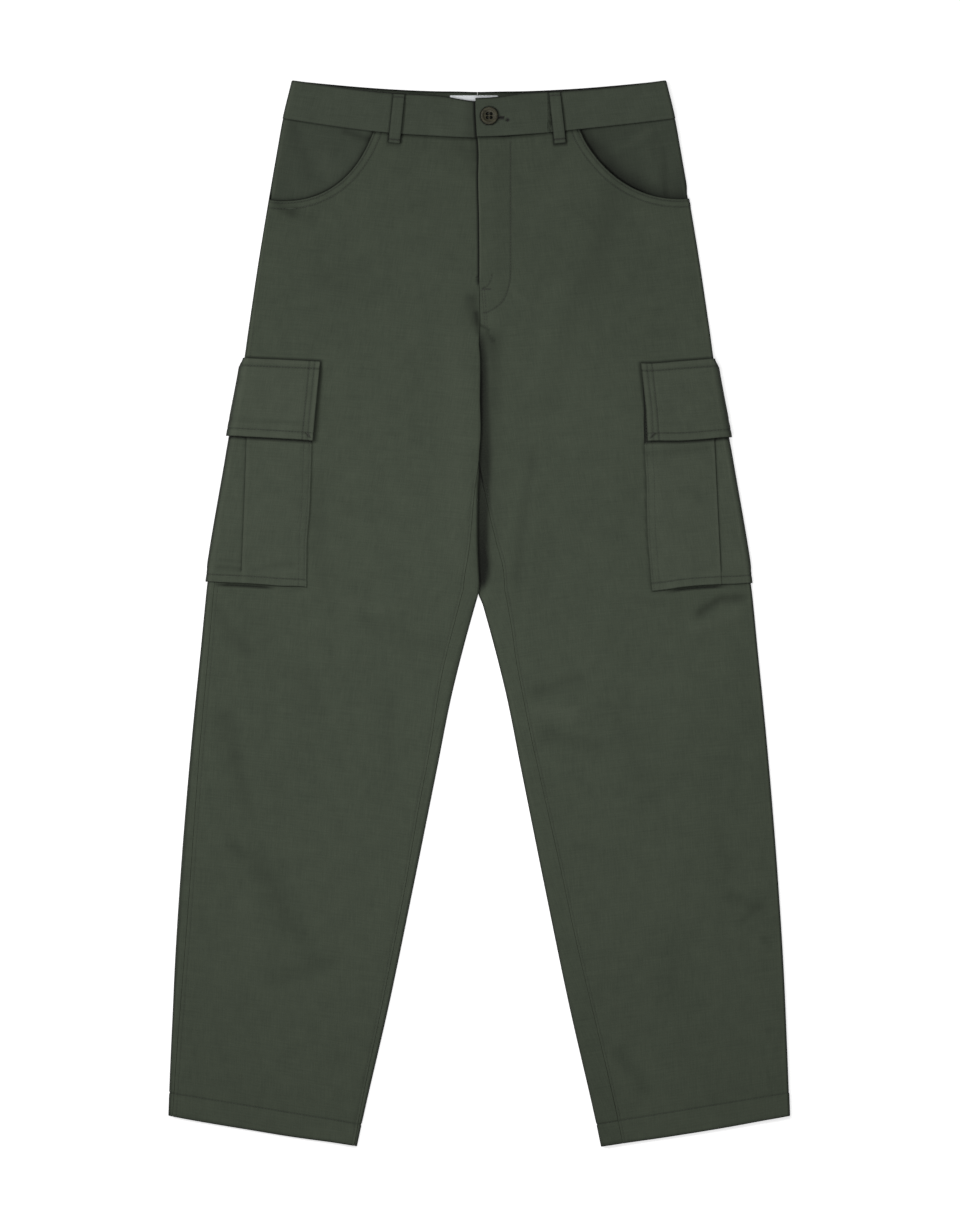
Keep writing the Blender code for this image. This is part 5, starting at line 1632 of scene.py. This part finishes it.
def button_sewing():
    """Thread bars through the button's holes, and the worked buttonhole beside it."""
    x, y = BUTTON_AT
    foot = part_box("waist_button")[0][2] / MM
    floor, top = foot - SEAM_GAP, foot + BUTTON_HEIGHT - 1.0
    sewing = Sewing("button_thread")
    half = BUTTON_HOLE_SPACING / 2
    upward = np.array(((0.0, 0.0, 1.0),))
    for row in (-half, half):
        for strand in (-0.42, 0, 0.42):
            starts = np.array(((x - half, y + row + strand, top - 1.4),))
            sewing.threads(starts, starts + (2 * half, 0, 0), upward, upward, 0.25, 3.2)
    slit = np.linspace(x + 4, BUTTONHOLE[0], 30)
    for edge in (-1, 1):
        starts = np.stack((slit, np.full(30, BUTTONHOLE[1] + 0.25 * edge), np.full(30, floor)), axis=1)
        sewing.threads(starts, starts + (0, 1.35 * edge, 0), upward, upward, 0.2, 0.8)
    turn = np.linspace(-1.9, 1.9, 14)
    spokes = np.stack((np.cos(turn), np.sin(turn), np.zeros(14)), axis=1)
    centre = np.array((*BUTTONHOLE_KNOT, floor))
    sewing.threads(centre + spokes * 0.5, centre + spokes * 1.9, upward, upward, 0.28, 2.2)
    sewing.make("dark_thread")


# Finishes. A wave texture's bands lie this far apart, in metres, at a scale of 1.
WAVE_PITCH = 0.314
TAPE_PITCH = 0.55
# Colours the tone mark mixes towards: painted shade and shadows, seams and stitch lines go dark; painted
# highlights and paler pieces go pale.
TWILL_SHADE = (0.007, 0.008, 0.006)
TWILL_PALE = (0.125, 0.14, 0.102)
TWILL_SHEEN = {
    "Sheen Weight": 0.07,
    "Sheen Roughness": 0.5,
    "Sheen Tint": (0.62, 0.68, 0.55, 1),
    "Specular IOR Level": 0.2,
}
# name, dark and light colour of the twill
TWILLS = (
    ("twill", (0.037, 0.046, 0.0325), (0.069, 0.084, 0.058)),
    ("twill_band", (0.039, 0.048, 0.034), (0.070, 0.085, 0.061)),
    ("twill_pocket", (0.039, 0.048, 0.034), (0.072, 0.087, 0.061)),
    # The facing's twill is a darker copy of the others: painted shade inside the pocket.
    ("twill_facing", (0.033, 0.041, 0.0295), (0.060, 0.073, 0.052)),
)


def add_node(tree, kind, inputs=(), **settings):
    node = tree.nodes.new(kind)
    for key, value in settings.items():
        setattr(node, key, value)
    for key, value in dict(inputs).items():
        if isinstance(value, bpy.types.NodeSocket):
            tree.links.new(value, node.inputs[key])
        else:
            node.inputs[key].default_value = value
    return node


def blank(name, colour, roughness, values=()):
    """A new material of one colour, with other uniform values set by name."""
    made = finishes[name] = bpy.data.materials.new(name)
    made.use_nodes = True
    shader = made.node_tree.nodes["Principled BSDF"]
    uniform = {"Base Color": (*colour, 1), "Roughness": roughness, **dict(values)}
    for key, value in uniform.items():
        shader.inputs[key].default_value = value
    return made.node_tree, shader


def noise(tree, vector, size, detail=2.0, stretch=None, rough=0.5, distortion=0.0):
    """Cloudy noise with this many spots for each metre, drawn out along an axis if stretched."""
    if stretch:
        vector = add_node(tree, "ShaderNodeMapping", {"Vector": vector, "Scale": stretch}).outputs[0]
    inputs = {"Vector": vector, "Scale": size, "Detail": detail, "Roughness": rough, "Distortion": distortion}
    return add_node(tree, "ShaderNodeTexNoise", inputs).outputs["Fac"]


def wave(tree, inputs, direction):
    return add_node(tree, "ShaderNodeTexWave", inputs, bands_direction=direction).outputs["Fac"]


def coloured(tree, value, dark, light, start=0.0, end=1.0):
    """A colour between two others, from a value that runs from start to end."""
    ramp = add_node(tree, "ShaderNodeValToRGB", {"Fac": value})
    for element, position, colour in zip(ramp.color_ramp.elements, (start, end), (dark, light)):
        element.position, element.color = position, (*colour, 1)
    return ramp.outputs["Color"]


def ranged(tree, value, low, high):
    """A value from 0 to 1, set between two others."""
    return add_node(tree, "ShaderNodeMapRange", {"Value": value, "To Min": low, "To Max": high}).outputs[0]


def bumped(tree, shader, height, strength, distance, under=None):
    """Fine relief of the surface, on top of another one if given."""
    bump = add_node(tree, "ShaderNodeBump", {"Height": height, "Strength": strength, "Distance": distance})
    if under:
        tree.links.new(under, bump.inputs["Normal"])
    tree.links.new(bump.outputs[0], shader.inputs["Normal"])
    return bump.outputs[0]


def math_node(tree, operation, *values, clamp=False):
    settings = {"operation": operation, "use_clamp": clamp}
    return add_node(tree, "ShaderNodeMath", dict(enumerate(values)), **settings).outputs[0]


def sum_of(tree, *terms, middle=0.0):
    """The sum of (socket, weight) terms, each socket centred on a half, moved to a middle."""
    total = None
    for socket, weight in terms:
        scaled = math_node(tree, "MULTIPLY_ADD", socket, weight, -weight / 2)
        total = math_node(tree, "ADD", total, scaled) if total else scaled
    return math_node(tree, "ADD", total, middle) if middle else total


def twill(name, dark, light):
    """Washed cotton twill: a diagonal weave, slubs and wash marks, with painted shade and highlights from the
    tone mark: darker at seams, stitches, creases and painted shadows, paler in painted highlights along
    edges.
    """
    tree, shader = blank(name, light, 0.9, TWILL_SHEEN)
    plan = add_node(tree, "ShaderNodeUVMap", uv_map="cloth").outputs[0]
    where = add_node(tree, "ShaderNodeTexCoord").outputs["Object"]
    turned = add_node(tree, "ShaderNodeMapping", {"Vector": plan, "Rotation": (0, 0, TWILL_ANGLE)}).outputs[0]
    waves_in = {"Vector": turned, "Scale": WAVE_PITCH / (TWILL_PITCH * MM), "Distortion": 1.2}
    waves_in.update({"Detail": 2.0, "Detail Scale": 1.4})
    ribs = wave(tree, waves_in, "X")
    warp = noise(tree, plan, 900, stretch=(1, 0.05, 1))
    weft = noise(tree, plan, 700, stretch=(0.04, 1, 1))
    grain = noise(tree, plan, 620, 3.0, (1, 1, 1), 0.7)
    wash = noise(tree, where, 70, 4.0, (1, 0.8, 1), 0.62)
    cloud = noise(tree, where, 7, stretch=(1, 0.6, 1))
    shares = ((ribs, 0.22), (warp, 0.57), (weft, 0.48), (grain, 0.68), (wash, 0.55), (cloud, 0.28))
    colour = coloured(tree, sum_of(tree, *shares, middle=0.5), dark, light)
    painted_tone = add_node(tree, "ShaderNodeAttribute", attribute_name="tone").outputs["Fac"]
    uneven = ranged(tree, grain, 0.6, 1.1)
    # Painted shade mixes towards the dark colour, and painted highlights towards the pale one.
    for weight, target in ((-1.25, TWILL_SHADE), (0.9, TWILL_PALE)):
        weighted_tone = math_node(tree, "MULTIPLY", painted_tone, weight)
        share = math_node(tree, "MULTIPLY", weighted_tone, uneven, clamp=True)
        mixed = add_node(tree, "ShaderNodeMix", {"Factor": share}, data_type="RGBA")
        tree.links.new(colour, mixed.inputs["A"])
        mixed.inputs["B"].default_value = (*target, 1)
        colour = mixed.outputs["Result"]
    tree.links.new(colour, shader.inputs["Base Color"])
    tree.links.new(ranged(tree, grain, 0.82, 0.98), shader.inputs["Roughness"])
    height = sum_of(tree, (ribs, 0.35), (warp, 0.5), (weft, 0.4), (grain, 0.5))
    weave = bumped(tree, shader, height, 0.5, 0.00025)
    bumped(tree, shader, wash, 0.6, 0.0004, weave)


def thread_finish(name, colour):
    """Matt twisted thread."""
    tree, shader = blank(name, colour, 0.6, {"Sheen Weight": 0.05})
    where = add_node(tree, "ShaderNodeTexCoord").outputs["Object"]
    twist = noise(tree, where, 1800)
    dark, light = ([value * share for value in colour] for share in (0.75, 1.25))
    tree.links.new(coloured(tree, twist, dark, light), shader.inputs["Base Color"])
    bumped(tree, shader, twist, 0.4, 0.0001)


def button_finish():
    """Dull moulded plastic with faint streaks, like horn."""
    tree, shader = blank("button", (0.04, 0.037, 0.024), 0.5, {"Specular IOR Level": 0.3})
    where = add_node(tree, "ShaderNodeTexCoord").outputs["Object"]
    drawn_out = {"Vector": where, "Rotation": (0, 0, 0.5), "Scale": (1, 5, 1)}
    mapped = add_node(tree, "ShaderNodeMapping", drawn_out).outputs[0]
    streaks = noise(tree, mapped, 160, 3.0, distortion=0.6)
    colour = coloured(tree, streaks, (0.03, 0.028, 0.016), (0.064, 0.06, 0.034), 0.35, 0.7)
    tree.links.new(colour, shader.inputs["Base Color"])
    scuffs = noise(tree, where, 900)
    tree.links.new(ranged(tree, scuffs, 0.42, 0.6), shader.inputs["Roughness"])
    bumped(tree, shader, scuffs, 0.12, 0.0001)


def label_finish():
    """Plain woven tape: a fine over-and-under weave, slightly uneven."""
    tree, shader = blank("label", (0.66, 0.69, 0.71), 0.75, {"Sheen Weight": 0.2})
    plan = add_node(tree, "ShaderNodeUVMap", uv_map="cloth").outputs[0]
    rows_in = {"Vector": plan, "Scale": WAVE_PITCH / (TAPE_PITCH * MM)}
    across, down = wave(tree, rows_in, "X"), wave(tree, rows_in, "Y")
    weave = sum_of(tree, (across, 0.5), (down, 0.5), (noise(tree, plan, 500), 0.6))
    tone = math_node(tree, "ADD", weave, 0.5)
    tree.links.new(coloured(tree, tone, (0.72, 0.75, 0.78), (0.88, 0.9, 0.92)), shader.inputs["Base Color"])
    bumped(tree, shader, weave, 0.5, 0.0002)


# Stage.
def floor_and_light():
    glow = {"Emission Color": (1, 1, 1, 1), "Emission Strength": FLOOR_GLOW}
    blank("pale_floor", (0.9, 0.9, 0.9), 0.85, glow)
    size = FLOOR_HALF_WIDTH / MM
    corners = [(x * size, y * size, FLOOR_DROP) for x, y in ((-1, -1), (1, -1), (1, 1), (-1, 1))]
    make_object("floor", corners, [(0, 1, 2, 3)], "pale_floor")
    world = bpy.data.worlds.new("studio")
    world.use_nodes = True
    background = world.node_tree.nodes["Background"].inputs
    background["Color"].default_value = (1, 1, 1, 1)
    background["Strength"].default_value = WORLD_LIGHT
    bpy.context.scene.world = world
    for name, place_at, width, power in LAMPS:
        lamp = bpy.data.lights.new(name, "AREA")
        lamp.size, lamp.energy = width, power
        obj = bpy.data.objects.new(name, lamp)
        obj.location = place_at
        obj.rotation_mode = "QUATERNION"
        obj.rotation_quaternion = (-Vector(place_at)).to_track_quat("-Z", "Y")
        bpy.context.scene.collection.objects.link(obj)


def camera():
    data = bpy.data.cameras.new("camera")
    data.sensor_width = 36
    data.lens = 36 * CAMERA_HEIGHT / (VIEW_HEIGHT * MM)
    data.clip_end = 50
    obj = bpy.data.objects.new("camera", data)
    obj.location = (VIEW_CENTRE[0] * MM, VIEW_CENTRE[1] * MM, CAMERA_HEIGHT + VIEW_LEVEL * MM)
    bpy.context.scene.collection.objects.link(obj)
    bpy.context.scene.camera = obj
    bpy.context.scene.view_settings.view_transform = "Standard"


def piece(node, cloth, finish, sewing=None, thickness=WALL, closed=False):
    """Makes a node's cloth with its stitches, and hides the node."""
    obj = shell(node + "_cloth", cloth, finish, thickness, closed)
    stitched = [sewing.make()] if sewing else []
    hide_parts(node)
    return obj


def make_side(side, name):
    """The pieces of one leg, from the underside up."""
    cloth = back_panel(side)
    back = piece(f"back_{name}", cloth, "twill", sew_back(side, cloth))
    cloth = front_panel(side)
    front = piece(f"front_{name}", cloth, "twill", sew_front(side, cloth))
    piece(f"hip_facing_{name}", hip_facing(side), "twill_facing", thickness=FACING_WALL)
    band_wall = BAND_OUTSIDE - BAND_INSIDE
    band = piece(f"waistband_{name}", waistband(side), "twill_band", None, band_wall, True)
    cloth = cargo_pocket(side)
    sewing = sew_pocket(side, cloth)
    pocket = piece(f"cargo_pocket_{name}", cloth, "twill_pocket", sewing, POCKET_WALL)
    cloth = cargo_flap(side)
    piece(f"cargo_flap_{name}", cloth, "twill_pocket", sew_flap(side, cloth), FLAP_WALL, True)
    for where, ends, face in (("front", FRONT_LOOPS[side], 1), ("back", (BACK_LOOP_OUT,) * 2, -1)):
        node = f"belt_loop_{where}_{name}"
        cloth = belt_loop(side, *ends, face)
        piece(node, cloth, "twill_band", sew_loop("stitches_" + node, cloth), LOOP_WALL, True)


def main():
    camera()
    floor_and_light()
    for name, dark, light in TWILLS:
        twill(name, dark, light)
    thread_finish("thread", (0.032, 0.036, 0.026))
    thread_finish("dark_thread", (0.012, 0.012, 0.009))
    label_finish()
    button_finish()
    for side, name in SIDE_NAMES.items():
        make_side(side, name)
    low = (-LOOP_WIDTH / 2, LOOP_BOTTOM + BACK_RISE)
    high = (LOOP_WIDTH / 2, LOOP_TOP + BACK_RISE)
    cloth = plate(low, high, 0, -1)
    piece("belt_loop_back_centre", cloth, "twill_band", None, LOOP_WALL, True)
    cloth = plate(LABEL_LOW, LABEL_HIGH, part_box("neck_label")[1][2] / MM, 1, LABEL_CORNER)
    piece("neck_label", cloth, "label", None, LABEL_WALL, True)
    waist_button()
    button_sewing()


main()
